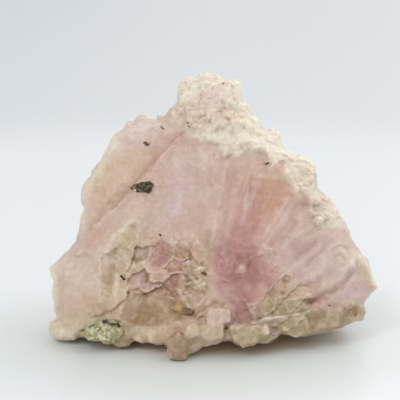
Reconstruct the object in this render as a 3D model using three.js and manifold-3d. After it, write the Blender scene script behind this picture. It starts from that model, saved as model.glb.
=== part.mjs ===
// A hand specimen of crystallised rose quartz, in millimetres, +Z up. It is one mass of grown-together
// quartz with a broken face towards -Y, a crust of small crystals round its upper right rim and back,
// and a few crystals of other minerals set in it. It stands on the broken lumps of its underside.
import * as THREE from "three";
import { ConvexGeometry } from "three/addons/geometries/ConvexGeometry.js";
import { ImprovedNoise } from "three/addons/math/ImprovedNoise.js";
import { mergeVertices } from "three/addons/utils/BufferGeometryUtils.js";
import Module from "manifold-3d";

const wasm = await Module();
wasm.setup();

// The broken face is laid out on a drawing plane that leans back from upright: u runs to the right,
// v up the plane and w out of it, towards the viewer. Lines of sight meet at an eye point.
const LEAN = THREE.MathUtils.degToRad(12);
const EYE_DISTANCE = 330;
const SIGHT = { u: -3.5, v: 40 };
const GROUND = 4.6; // height of the resting plane above the drawing's own zero
const SEAT_GAP = 0.3; // clearance round a crystal that sits in the quartz

const FACE_RINGS = 8; // rings of the shell from the middle of the face out to its outline
const BACK_RINGS = 5;
const MIDDLE = { u: 0, v: 30 }; // every point of the outline is in plain sight of this one
const FACE_NOTCHES_FROM = 0.84; // share of the way out at which the outline's small notches begin
const BACK_NOTCHES_FROM = 0.975;

// Small crystals: how much of the rim the crust follows from the peak down, and how many stand
// on the back; and the angular chunks that the back and the underside are broken into.
const CRUST = { rimPoints: 34, backCrystals: 22, goldenTurn: 0.618034, lowest: 16 };
const BACK_CHUNKS = { count: 30, size: 8.4, corners: 12 };

// Outline of the mass, clockwise from its peak, as [u, v].
const OUTLINE = [
  [-2.25, 72], [1, 71.75], [2.5, 70.25], [5.25, 70.25], [6.9, 69.5], [6.6, 66.5], [6.7, 64.8],
  [8, 64.25], [8.75, 62.5], [9.75, 61], [11, 61], [11.75, 59.25], [11.8, 57.5], [12.6, 56.9],
  [14, 57.25], [16.25, 57], [16.75, 55], [17.25, 53.25], [18.75, 51.75], [19.5, 50.5],
  [20.75, 50.5], [22, 51.5], [23.5, 50.5], [24.5, 49.25], [25.75, 48.75], [25.75, 46], [25, 44],
  [26, 42], [27.75, 40.75], [29.25, 40.25], [29.75, 39], [31.25, 37.75], [32.5, 35.5],
  [33.75, 33], [34.5, 30.75], [35.75, 28.5], [36.75, 26.75], [38.5, 25], [39.5, 23],
  [39.75, 20.75], [41, 19.25], [40.75, 18], [39.25, 16.25], [37.25, 13.75], [38, 12.75],
  [37.25, 10.75], [36.25, 10], [34.5, 9], [31.5, 8], [27.75, 7], [24, 6], [20.5, 5.75], [19, 6.5],
  [17.25, 7.25], [15.5, 5.75], [13.5, 4.75], [10.25, 4], [7.25, 3.5], [5.75, 4.75], [2.75, 4.75],
  [-0.5, 4.25], [-2.75, 3.5], [-4.25, 2], [-6.5, 1.25], [-7.5, 0.25], [-10.5, 0], [-11.5, 2],
  [-11.75, 3.75], [-14.25, 4.5], [-17.25, 4.25], [-20.25, 5.25], [-21.75, 4.25], [-24.5, 3],
  [-26.5, 4], [-29.25, 5.25], [-32.25, 5.5], [-34.75, 5.5], [-37.25, 5.5], [-39.5, 6],
  [-40.75, 8], [-40.5, 9.75], [-39, 11], [-39.25, 12.75], [-40, 15], [-39.75, 17.5],
  [-38.75, 18.75], [-40.5, 20], [-41.25, 21.5], [-41, 23.25], [-38.5, 25.5], [-36, 27.75],
  [-33.5, 30.25], [-33.25, 33], [-33.25, 35.5], [-32.25, 38], [-33.25, 40], [-33.5, 42.5],
  [-32.5, 44], [-31, 46], [-31, 47.25], [-29.25, 49.25], [-27.5, 51], [-26.25, 52.75],
  [-26, 55.25], [-24, 57.25], [-22, 57.25], [-20.75, 58], [-19.75, 60.25], [-18, 61.5],
  [-16.25, 60.25], [-13.5, 60], [-11.5, 60.75], [-11, 62.75], [-9, 64.75], [-9, 67],
  [-8.75, 68.75], [-7.25, 70.25], [-4.75, 70.5],
];

// Wide swells of the broken face, as [u, v, half width, half height, rise].
const FACE_SWELLS = [
  [9, 24, 12, 16, -2], // the middle, dished towards the rose heart
  [31, 20, 10, 12, 2.5],
  [-28, 16, 12, 9, 1.5],
  [0, 66, 9, 8, 1.2],
  [16, 52, 12, 9, 1.5],
];
// Wide swells of the back, in the same terms; a rise is away from the viewer.
const BACK_SWELLS = [
  [-20, 14, 14, 10, 4],
  [17, 12, 14, 9, 4],
  [0, 54, 10, 14, -4],
  [0, 22, 8, 12, -3],
];

// Slabs broken off short on the face: each is an outline in [u, v], how far it rises from the face
// and how much narrower it is at its top.
const SLABS = [
  { rise: 1.8, top: 0.93, outline: [[-11.5, 55], [-15.5, 48.7], [-20.7, 43], [-28.5, 35.8], [-33, 30.8],
    [-36, 25.5], [-27, 26], [-22, 30], [-12, 31], [-4, 29], [2, 27], [4, 34], [-1, 46], [-5, 55]] },
  { rise: 1.6, top: 0.88, outline: [[-38, 24], [-33, 29], [-27, 29.5], [-25.5, 22], [-26.5, 14.5],
    [-30, 12], [-38, 11], [-38.5, 17]] },
  { rise: 1.2, top: 0.7, outline: [[-39.5, 9.5], [-33.5, 10], [-33, 6.5], [-39, 6.3]] },
  { rise: 2.4, top: 0.7, outline: [[-11.5, 9], [-6, 8.5], [-4.8, 3], [-7.5, 0.7], [-10.4, 0.4], [-11.2, 3]] },
  { rise: 2.2, top: 0.75, outline: [[-2.2, 13], [3.8, 12.6], [4.2, 9], [-1.6, 8.7]] },
  { rise: 1.8, top: 0.7, outline: [[-3.4, 8.6], [2.6, 8.8], [2.8, 5.2], [-2.8, 4.6]] },
  { rise: 2.1, top: 0.6, outline: [[-7, 9.4], [-3.6, 9.6], [-3.6, 5.2], [-6.4, 4.8]] },
  { rise: 2.3, top: 0.75, outline: [[3.6, 8.8], [10, 9.2], [15.2, 8.2], [14.6, 5.2], [7, 4.2], [4.6, 5.2]] },
  { rise: 2.2, top: 0.7, outline: [[13.5, 16], [18.6, 19.2], [22.8, 15.6], [21.8, 14.4], [14.2, 14.2]] },
  { rise: 2.6, top: 0.75, outline: [[12, 12.2], [24.6, 13.2], [24.4, 10.6], [18, 9.6], [12.4, 9.8]] },
  { rise: 1.6, top: 0.75, outline: [[14.6, 9], [22.6, 8.8], [22.4, 6.6], [15.4, 6.6]] },
  { rise: 2, top: 0.6, outline: [[24, 16.5], [31, 19], [39, 17.6], [37, 12.6], [30, 9.6], [24.6, 11]] },
  { rise: 1.6, top: 0.5, outline: [[27.6, 24], [31, 28.6], [35.6, 27], [37.6, 21.6], [32, 19.4]] },
  { rise: 1.2, top: 0.5, outline: [[22, 22], [26, 26.4], [29, 21.6], [26, 17.6], [22, 18]] },
  { rise: 1.4, top: 0.7, outline: [[-25, 56.4], [-19, 60], [-13, 59.4], [-12, 55], [-20, 51]] },
  { rise: 1.4, top: 0.6, outline: [[-20, 52], [-14, 57], [-10.6, 54], [-14, 49.4]] },
  { rise: 1.4, top: 0.7, outline: [[-8, 69], [-2, 71], [5, 69.4], [6, 63], [0, 61], [-8, 63]] },
  { rise: 1.8, top: 0.7, outline: [[-9, 62.5], [-2, 64], [6, 62.5], [8, 58.5], [0, 56.5], [-9, 58]] },
  { rise: 1.9, top: 0.9, outline: [[-4, 58.5], [8, 60.5], [14, 56], [13.5, 52], [8, 53.4], [-2, 54.4]] },
  { rise: 2.2, top: 0.85, outline: [[12, 56.5], [18, 52.5], [25, 48], [26, 41], [28, 38], [21.6, 38.5],
    [17.8, 45], [12.5, 51.6]] },
  { rise: 1.2, top: 0.8, outline: [[12, 30], [17, 36], [22, 37.4], [25, 30], [18, 23.6]] },
  { rise: 1.5, top: 0.7, outline: [[22, 37.6], [30, 38.4], [33, 31.6], [28.6, 28.4], [23.4, 30.6]] },
];
// Pits and hollows of the face, in the same terms; the narrow end is the floor.
const PITS = [
  { rise: -2.2, top: 0.5, outline: [[-21, 24.4], [-19.6, 28.2], [-16.6, 27.4], [-15.8, 24.6], [-18, 23.4]] },
  { rise: -3, top: 0.5, outline: [[-21.4, 18.6], [-19.8, 23], [-16.4, 22.4], [-15.4, 18.8], [-18.6, 17]] },
  { rise: -2.8, top: 0.4, outline: [[-15.6, 24.6], [-14, 29.2], [-11.2, 28], [-10.2, 23.6], [-13, 22.6]] },
  { rise: -4.4, top: 0.5, outline: [[-16, 16.6], [-15.4, 21], [-11, 23.2], [-7.6, 20.6], [-8.8, 16], [-12, 14.8]] },
  { rise: -3, top: 0.3, outline: [[-10, 25], [-6.4, 25.6], [-4.6, 29.4], [-5.6, 23], [-8, 22.6]] },
  { rise: -2.8, top: 0.6, outline: [[-7.8, 16], [-7, 23.4], [-3.6, 25.8], [-0.8, 22.4], [-1.6, 14], [-5, 13.4]] },
  { rise: -2.4, top: 0.5, outline: [[0.8, 28.6], [6, 31], [12.6, 28.6], [12.2, 20], [10, 14], [9.2, 9.6],
    [5.4, 9.6], [4.8, 14], [1.6, 20]] },
  { rise: -1.6, top: 0.6, outline: [[6.8, 51.6], [12, 50.6], [16, 45], [18.6, 40], [17, 35.4], [11, 33],
    [7, 36], [5, 44]] },
  { rise: -2, top: 0.4, outline: [[-21.4, 10], [-20, 16.6], [-12, 15.4], [-8, 14.6], [-7.6, 9.4], [-14, 7.4]] },
];
const SLAB_TILT = 0.09; // most that a slab's top leans, as a share of its rise per millimetre
const ROOT_DEPTH = 3; // how far a slab reaches below the face, and a pit's mouth above it

const hump = (u, v, [cu, cv, ru, rv]) =>
  Math.exp(-((u - cu) ** 2) / ru ** 2 - (v - cv) ** 2 / rv ** 2);

const swells = (u, v, list) =>
  list.reduce((sum, entry) => sum + entry[4] * hump(u, v, entry), 0);

/** How far the rim of the mass stands in front of the drawing plane. */
function rimAt(u, v) {
  const lowEdge = 1 - THREE.MathUtils.smoothstep(v, 5, 16);
  const frontEdge = 11 * Math.exp(-(((u - 2) / 24) ** 2)) * lowEdge;
  const foot = 3.5 * hump(u, v, [-9, 0, 4, 4]);
  return frontEdge + foot - 0.12 * (v - 5);
}

/** How far the broken face stands in front of the drawing plane. */
const faceAt = (u, v) => 16.5 - 0.25 * v - 0.0055 * u * u + swells(u, v, FACE_SWELLS);

/** How far the back lies behind the drawing plane, as a negative number. */
const backAt = (u, v) => -25 + 0.05 * v + 0.004 * u * u - swells(u, v, BACK_SWELLS);

/** Distance out of the plane as a share of its full depth, for a share f of the way to the rim. */
const domeShare = (f, power) => Math.max(0, 1 - f ** power) ** (1 / power);

/** The point of the row frame at (u, v, w) of the drawing, before the mass is centred on its base. */
function place(u, v, w) {
  const taper = 1 - w / EYE_DISTANCE;
  const up = SIGHT.v + (v - SIGHT.v) * taper;
  return new THREE.Vector3(
    SIGHT.u + (u - SIGHT.u) * taper,
    up * Math.sin(LEAN) - w * Math.cos(LEAN),
    up * Math.cos(LEAN) + w * Math.sin(LEAN) - GROUND,
  );
}

const noise = new ImprovedNoise();
/** Uneven ground in two scales, from -1 to 1 or so. */
const rough = (p, scale, offset) =>
  noise.noise(p.x / scale + offset, p.y / scale, p.z / scale) +
  0.5 * noise.noise((2 * p.x) / scale, (2 * p.y) / scale + offset, (2 * p.z) / scale);

/** A geometry with its shared vertices merged and only its positions left, as a solid. */
function solidOf(geometry) {
  const bare = geometry.clone();
  bare.deleteAttribute("normal");
  bare.deleteAttribute("uv");
  const merged = mergeVertices(bare, 1e-4);
  return new wasm.Manifold(
    new wasm.Mesh({
      numProp: 3,
      vertProperties: merged.attributes.position.array,
      triVerts: new Uint32Array(merged.index.array),
    }),
  );
}

/** The geometry of a solid. */
function geometryOf(solid) {
  const mesh = solid.getMesh();
  const positions = new Float32Array(mesh.numVert * 3);
  for (let i = 0; i < mesh.numVert; i++) {
    positions.set(mesh.vertProperties.subarray(i * mesh.numProp, i * mesh.numProp + 3), i * 3);
  }
  return new THREE.BufferGeometry()
    .setAttribute("position", new THREE.BufferAttribute(positions, 3))
    .setIndex(new THREE.BufferAttribute(new Uint32Array(mesh.triVerts), 1));
}

/** A mesh without the small closed pockets left where lumps meet: only its largest skin is kept. */
function outerSkin(geometry) {
  const corner = geometry.index.array;
  const parent = Array.from({ length: geometry.attributes.position.count }, (_, i) => i);
  const rootOf = (i) => {
    while (parent[i] !== i) i = parent[i] = parent[parent[i]];
    return i;
  };
  for (let t = 0; t < corner.length; t += 3) {
    parent[rootOf(corner[t + 1])] = rootOf(corner[t]);
    parent[rootOf(corner[t + 2])] = rootOf(corner[t]);
  }
  const skins = new Map();
  for (let t = 0; t < corner.length; t += 3) {
    const root = rootOf(corner[t]);
    if (!skins.has(root)) skins.set(root, []);
    skins.get(root).push(corner[t], corner[t + 1], corner[t + 2]);
  }
  const largest = [...skins.values()].reduce((best, skin) => (skin.length > best.length ? skin : best));
  return mergeVertices(geometry.clone().setIndex(largest).toNonIndexed(), 1e-6);
}

/** The outline with its notches averaged away, for the rings well inside the rim. */
const SMOOTH_SPAN = 4;
const SMOOTH_OUTLINE = OUTLINE.map((_, i) => {
  const sum = [0, 0];
  for (let k = -SMOOTH_SPAN; k <= SMOOTH_SPAN; k++) {
    const [u, v] = OUTLINE[(i + k + OUTLINE.length) % OUTLINE.length];
    sum[0] += u / (2 * SMOOTH_SPAN + 1);
    sum[1] += v / (2 * SMOOTH_SPAN + 1);
  }
  return sum;
});

/** The point (u, v) a share f of the way out from the middle towards point i of the outline. */
function spokePoint(i, f, notchesFrom = FACE_NOTCHES_FROM) {
  const jagged = THREE.MathUtils.smoothstep(f, notchesFrom, 1);
  const u = THREE.MathUtils.lerp(SMOOTH_OUTLINE[i][0], OUTLINE[i][0], jagged);
  const v = THREE.MathUtils.lerp(SMOOTH_OUTLINE[i][1], OUTLINE[i][1], jagged);
  return [MIDDLE.u + f * (u - MIDDLE.u), MIDDLE.v + f * (v - MIDDLE.v)];
}

/** The depth of the back a share f of the way out towards point i of the outline. */
function backDepth(i, f) {
  const [u, v] = spokePoint(i, f, BACK_NOTCHES_FROM);
  const rim = rimAt(...spokePoint(i, 1));
  return rim + (backAt(u, v) - rim) * domeShare(f, 2.4);
}

/** The mass itself: a sphere's grid laid over the face, round the outline and over the back. */
function massShell() {
  const spokes = OUTLINE.length;
  const rings = FACE_RINGS + BACK_RINGS;
  const shell = new THREE.SphereGeometry(1, spokes, rings);
  const position = shell.attributes.position;
  for (let ring = 0; ring <= rings; ring++) {
    const inFront = ring <= FACE_RINGS;
    const turn = inFront ? ring / FACE_RINGS : (rings - ring) / BACK_RINGS;
    const f = ring === 0 || ring === rings ? 0 : Math.sin((turn * Math.PI) / 2);
    for (let spoke = 0; spoke <= spokes; spoke++) {
      const i = (spokes - spoke) % spokes;
      const [u, v] = spokePoint(i, f, inFront ? FACE_NOTCHES_FROM : BACK_NOTCHES_FROM);
      const rim = rimAt(...spokePoint(i, 1));
      const w = inFront ? rim + (faceAt(u, v) - rim) * domeShare(f, 3) : backDepth(i, f);
      const unevenness = inFront ? 0.4 * (1 - f ** 6) : -1.2 * (1 - f ** 12);
      const lift = unevenness * rough(place(u, v, w), 12, inFront ? 3.3 : 7.7);
      const moved = place(u, v, w + lift);
      position.setXYZ(ring * (spokes + 1) + spoke, moved.x, moved.y, moved.z);
    }
  }
  return shell;
}

/** How far the face of a mesh stands out at (u, v), or at the nearest spot inwards where there is face. */
function faceDepth(mesh, u, v) {
  const FROM = 60;
  for (let inwards = 1; inwards > 0; inwards -= 0.02) {
    const spot = [
      THREE.MathUtils.lerp(MIDDLE.u, u, inwards),
      THREE.MathUtils.lerp(MIDDLE.v, v, inwards),
    ];
    const eye = place(...spot, FROM);
    const sight = place(...spot, 0).sub(eye);
    const [hit] = new THREE.Raycaster(eye, sight.clone().normalize()).intersectObject(mesh);
    if (hit) return FROM * (1 - hit.distance / sight.length());
  }
  return rimAt(u, v);
}

const onFace = (mesh, u, v, lift = 0) => place(u, v, faceDepth(mesh, u, v) + lift);
const shell = new THREE.Mesh(massShell());

let seed = 11;
/** A repeatable random number between -size and size. */
function jitter(size) {
  seed += 1;
  return (THREE.MathUtils.seededRandom(seed) * 2 - 1) * size;
}

/** A slab or a pit of the face: its outline drawn out across the face and narrowed at the far end. */
function faceBlock({ outline, rise, top }) {
  const shape = new THREE.Shape(outline.map(([u, v]) => new THREE.Vector2(u, v)));
  const geometry = new THREE.ExtrudeGeometry(shape, { depth: 1, bevelEnabled: false });
  const middle = outline
    .reduce((sum, [u, v]) => sum.add(new THREE.Vector2(u, v)), new THREE.Vector2())
    .divideScalar(outline.length);
  const tilt = new THREE.Vector2(jitter(SLAB_TILT), jitter(SLAB_TILT));
  const near = rise > 0 ? rise : ROOT_DEPTH;
  const far = rise > 0 ? -ROOT_DEPTH : rise;
  const position = geometry.attributes.position;
  for (let i = 0; i < position.count; i++) {
    const isNear = position.getZ(i) > 0.5;
    const narrowed = isNear === rise > 0 ? top : 1;
    const u = THREE.MathUtils.lerp(middle.x, position.getX(i), narrowed);
    const v = THREE.MathUtils.lerp(middle.y, position.getY(i), narrowed);
    const slope = 1 + tilt.dot(new THREE.Vector2(u - middle.x, v - middle.y));
    const p = onFace(shell, u, v, (isNear ? near : far) * THREE.MathUtils.clamp(slope, 0.35, 1.7));
    position.setXYZ(i, p.x, p.y, p.z);
  }
  return solidOf(geometry);
}

/** A stubby quartz crystal about its own waist: six faces to a point above and below, along +Y. */
function quartzPoint(radius) {
  const profile = [
    [0, -1.6 * radius],
    [radius, 0],
    [0, 1.2 * radius],
  ].map(([r, y]) => new THREE.Vector2(r, y));
  return new THREE.LatheGeometry(profile, 6);
}

/** An angular chunk of broken quartz about a centre. */
function chunk(centre, size) {
  const corners = Array.from({ length: BACK_CHUNKS.corners }, () =>
    new THREE.Vector3(jitter(1), jitter(1), jitter(1)).normalize().multiplyScalar(size),
  );
  return solidOf(new ConvexGeometry(corners).translate(centre.x, centre.y, centre.z));
}

/** A short crystal rooted a little way inside the mass and pointing outwards from its middle. */
function rootedCrystal(root, radius) {
  const lean = root
    .clone()
    .sub(place(MIDDLE.u, MIDDLE.v, -6))
    .normalize()
    .add(new THREE.Vector3(jitter(0.5), jitter(0.5), jitter(0.5)))
    .normalize();
  const geometry = quartzPoint(radius);
  geometry.applyQuaternion(
    new THREE.Quaternion().setFromUnitVectors(new THREE.Vector3(0, 1, 0), lean),
  );
  return solidOf(geometry.translate(root.x, root.y, root.z));
}

/** The crystals that crowd the rim from the peak down its right side, and those of the back. */
function crustCrystals() {
  const crystals = [];
  for (let i = 0; i < CRUST.rimPoints; i += 3) {
    const [u, v] = spokePoint(i, 0.95 - 0.03 * (i % 4));
    crystals.push(rootedCrystal(place(u, v, rimAt(u, v) + jitter(3) - 2), 1.7 + jitter(0.5)));
    const [faceU, faceV] = spokePoint(i, 0.78 + jitter(0.06));
    crystals.push(rootedCrystal(onFace(shell, faceU, faceV, 1), 1.6 + jitter(0.4)));
  }
  for (let n = 0; n < CRUST.backCrystals; n++) {
    const f = Math.sqrt((n + 0.5) / CRUST.backCrystals) * 0.86;
    const i = Math.floor(((n * CRUST.goldenTurn) % 1) * OUTLINE.length);
    const [u, v] = spokePoint(i, f);
    if (v < CRUST.lowest) continue;
    crystals.push(rootedCrystal(place(u, v, backDepth(i, f) + 0.5), 2.2 + jitter(0.8)));
  }
  return crystals;
}

/** The chunks that the back and the underside are broken into. */
function backChunks() {
  return Array.from({ length: BACK_CHUNKS.count }, (_, n) => {
    const f = Math.sqrt((n + 0.5) / BACK_CHUNKS.count) * 0.9;
    const i = Math.floor(((n * CRUST.goldenTurn + 0.31) % 1) * OUTLINE.length);
    const [u, v] = spokePoint(i, f, BACK_NOTCHES_FROM);
    const size = BACK_CHUNKS.size * (1 - 0.4 * THREE.MathUtils.smoothstep(v, 30, 60)) + jitter(1.5);
    const inwards = place(MIDDLE.u, MIDDLE.v, -8).sub(place(u, v, backDepth(i, f))).normalize();
    return chunk(place(u, v, backDepth(i, f)).addScaledVector(inwards, 0.6 * size), size);
  });
}

let quartz = solidOf(shell.geometry);
for (const slab of SLABS) quartz = quartz.add(faceBlock(slab));
for (const pit of PITS) quartz = quartz.subtract(faceBlock(pit));
for (const lump of [...backChunks(), ...crustCrystals()]) quartz = quartz.add(lump);
const brokenFace = new THREE.Mesh(geometryOf(quartz));

/** A crystal of another mineral: a profile turned in a few flats, lying along a direction. */
function setCrystal(name, colour, { profile, sides, at, along, roll, squash }) {
  const middle = profile[profile.length - 1][1] / 2;
  const shape = (grow) => {
    const points = profile.map(
      ([r, y]) => new THREE.Vector2(r === 0 ? 0 : r + grow, y + (y > middle ? grow : -grow)),
    );
    const geometry = new THREE.LatheGeometry(points, sides);
    geometry.scale(1, 1, squash);
    geometry.rotateY(roll);
    geometry.applyQuaternion(
      new THREE.Quaternion().setFromUnitVectors(
        new THREE.Vector3(0, 1, 0),
        new THREE.Vector3(...along).normalize(),
      ),
    );
    return geometry.translate(...onFace(brokenFace, ...at).toArray());
  };
  return { name, colour, solid: solidOf(shape(0)), seat: solidOf(shape(SEAT_GAP)) };
}

/** The granular green patch under the left ledge: a flattened lump, uneven all over. */
function granularPatch() {
  const root = onFace(brokenFace, -28.4, 8.2, -1.2);
  const lump = (grow) => {
    const geometry = new THREE.IcosahedronGeometry(1, 2);
    const position = geometry.attributes.position;
    for (let i = 0; i < position.count; i++) {
      const d = new THREE.Vector3().fromBufferAttribute(position, i).normalize();
      const bulge = 1 + 0.16 * rough(d, 0.5, 2.1);
      const p = new THREE.Vector3(5.9 * d.x, 3.2 * d.y, 2.7 * d.z).multiplyScalar(bulge).add(root);
      p.addScaledVector(d, grow);
      position.setXYZ(i, p.x, p.y, p.z);
    }
    return geometry;
  };
  return { name: "green_grains", colour: 0xaea581, solid: solidOf(lump(0)), seat: solidOf(lump(SEAT_GAP)) };
}

const inlays = [
  setCrystal("dark_crystal", 0x50443a, {
    profile: [[0, 0], [1.05, 0.1], [1.3, 0.9], [1.05, 2.8], [0.3, 5.4], [0, 5.7]],
    sides: 6, at: [-15.3, 43.1, 0.1], along: [-1, -0.12, -0.06], roll: 0.4, squash: 0.85,
  }),
  setCrystal("brown_crystal", 0xa58660, {
    profile: [[0, 0], [1.5, 0.3], [2.1, 2.2], [1.7, 4.2], [0.2, 6.2], [0, 6.3]],
    sides: 5, at: [-4.9, 12.4, -0.4], along: [-1, -0.1, 0.1], roll: 0.2, squash: 0.9,
  }),
  granularPatch(),
];

// Small dark crystals on the face, as [u, v, radius].
const DARK_GRAINS = [
  [-17, 54.1, 0.7], [-12.9, 58, 0.5], [-6.4, 59.4, 0.6], [-6.2, 58.3, 0.5], [2.1, 69, 0.45],
  [13.2, 49.1, 0.5], [-13.3, 31.2, 0.55], [-22.9, 20.6, 0.75], [31, 12.7, 0.45], [28.9, 13.6, 0.4],
];
DARK_GRAINS.forEach(([u, v, radius], index) => {
  inlays.push(
    setCrystal(`dark_grain_${index + 1}`, 0x3c322b, {
      profile: [[0, -radius * 1.3], [radius, 0], [0, radius * 1.3]],
      sides: 5, at: [u, v, 0.15], along: [1, jitter(0.8), jitter(0.8)], roll: jitter(1), squash: 0.8,
    }),
  );
});

for (const inlay of inlays) quartz = quartz.subtract(inlay.seat);
const REACH = 200;
const below = new THREE.BoxGeometry(REACH, REACH, REACH).translate(0, 0, -REACH / 2);
quartz = quartz.subtract(solidOf(below));

const specimen = new THREE.Group();
const stone = (colour, roughness) =>
  new THREE.MeshStandardMaterial({ color: colour, roughness, metalness: 0 });
const massMesh = new THREE.Mesh(outerSkin(geometryOf(quartz)), stone(0xccb4a9, 0.4));
massMesh.name = "rose_quartz";
specimen.add(massMesh);
for (const { name, colour, solid } of inlays) {
  const mesh = new THREE.Mesh(geometryOf(solid), stone(colour, 0.5));
  mesh.name = name;
  specimen.add(mesh);
}

// The origin is the middle of the base of the whole specimen's box.
const box = new THREE.Box3().setFromObject(specimen);
const centre = box.getCenter(new THREE.Vector3());
specimen.position.set(-centre.x, -centre.y, -box.min.z);

export default specimen;
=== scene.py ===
"""The looks of a rose quartz hand specimen: its broken pink face, its crust and its small inlaid minerals.

Shapes are worked out in millimetres on a leaning drawing plane and set down in metres in the CAD frame.
"""

import logging
import math
from dataclasses import dataclass, field
from enum import Enum
from typing import Callable, ClassVar, Sequence, Union

import bpy
import numpy as np
from bpy.types import ID, Material, Mesh, NodeSocket, Object
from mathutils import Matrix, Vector


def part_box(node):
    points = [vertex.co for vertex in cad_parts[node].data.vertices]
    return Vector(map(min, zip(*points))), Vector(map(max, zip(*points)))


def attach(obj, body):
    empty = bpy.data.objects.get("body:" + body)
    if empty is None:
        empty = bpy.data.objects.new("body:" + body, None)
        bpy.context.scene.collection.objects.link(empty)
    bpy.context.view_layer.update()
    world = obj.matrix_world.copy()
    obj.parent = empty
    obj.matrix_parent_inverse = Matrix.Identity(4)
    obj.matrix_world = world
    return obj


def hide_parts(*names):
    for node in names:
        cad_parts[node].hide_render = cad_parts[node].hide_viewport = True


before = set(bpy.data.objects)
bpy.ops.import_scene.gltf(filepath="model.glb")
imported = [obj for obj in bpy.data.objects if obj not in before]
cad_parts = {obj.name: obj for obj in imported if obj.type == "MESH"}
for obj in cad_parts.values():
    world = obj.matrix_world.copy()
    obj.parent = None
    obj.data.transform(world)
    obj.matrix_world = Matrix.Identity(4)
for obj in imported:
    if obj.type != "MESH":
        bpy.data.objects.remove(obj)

MM = 0.001
LIGHT_LEVEL = 0.93
BRIGHTEST = 0.96
TINY = 1e-6
LOG = logging.getLogger("rose_quartz")
Array = np.ndarray
Point = tuple[float, float]
Colour = tuple[float, float, float, float]


def smoothstep(low: float, high: float, value: Array) -> Array:
    """The value's smooth rise from 0 at low to 1 at high."""
    share = np.clip((value - low) / (high - low), 0.0, 1.0)
    return share * share * (3.0 - 2.0 * share)


def srgb(red: int, green: int, blue: int) -> Colour:
    """A linear colour from display values.

    Args:
        red: Red, from 0 to 255.
        green: Green.
        blue: Blue.

    Returns:
        Linear red, green and blue, and full alpha.
    """
    linear = [
        c / 12.92 if c <= 0.04045 else ((c + 0.055) / 1.055) ** 2.4
        for c in (red / 255.0, green / 255.0, blue / 255.0)
    ]
    return (linear[0], linear[1], linear[2], 1.0)


def seen(red: int, green: int, blue: int) -> Colour:
    """The linear colour of a surface that should look like the given display values in the studio."""
    return (*(min(c / LIGHT_LEVEL, BRIGHTEST) for c in srgb(red, green, blue)[:3]), 1.0)


def placed(name: str, data: ID) -> Object:
    """A new object of the scene.

    Args:
        name: Its name.
        data: Its mesh, light or camera.

    Returns:
        The object.
    """
    thing = bpy.data.objects.new(name, data)
    bpy.context.scene.collection.objects.link(thing)
    return thing


# ---- Where things are ----


@dataclass(frozen=True)
class Drawing:
    """The leaning plane that the broken face is laid out on: u to the right, v up it, w out of it."""

    lean: float = math.radians(12.0)
    eye_distance: float = 330.0
    sight: Point = (-3.5, 40.0)
    origin: tuple[float, float, float] = (0.123, -8.2, -4.6)

    def place(self, u: Array, v: Array, w: Array) -> Array:
        """Points of the CAD frame, in millimetres.

        Args:
            u: Distance to the right on the drawing, in millimetres.
            v: Distance up the drawing.
            w: Distance out of the drawing, towards the viewer.

        Returns:
            One row of x, y and z for each point.
        """
        taper = 1.0 - w / self.eye_distance
        along = self.sight[0] + (u - self.sight[0]) * taper
        up = self.sight[1] + (v - self.sight[1]) * taper
        sin, cos = math.sin(self.lean), math.cos(self.lean)
        points = np.stack([along, up * sin - w * cos, up * cos + w * sin], axis=-1)
        return points + np.array(self.origin)

    def read(self, points: Array) -> Array:
        """The u, v and w of points of the CAD frame, all in millimetres.

        Args:
            points: One row of x, y and z for each point.

        Returns:
            One row of u, v and w for each point.
        """
        x, y, z = (points - np.array(self.origin)).T
        sin, cos = math.sin(self.lean), math.cos(self.lean)
        w = z * sin - y * cos
        taper = 1.0 - w / self.eye_distance
        u = self.sight[0] + (x - self.sight[0]) / taper
        v = self.sight[1] + (y * sin + z * cos - self.sight[1]) / taper
        return np.stack([u, v, w], axis=-1)

    @property
    def outwards(self) -> Array:
        """The direction out of the plane, towards the viewer."""
        return np.array([0.0, -math.cos(self.lean), math.sin(self.lean)])


DRAWING = Drawing()
SKEW = np.array([[0.80, 0.36, -0.48], [-0.60, 0.48, -0.64], [0.0, 0.80, 0.60]])


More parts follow.
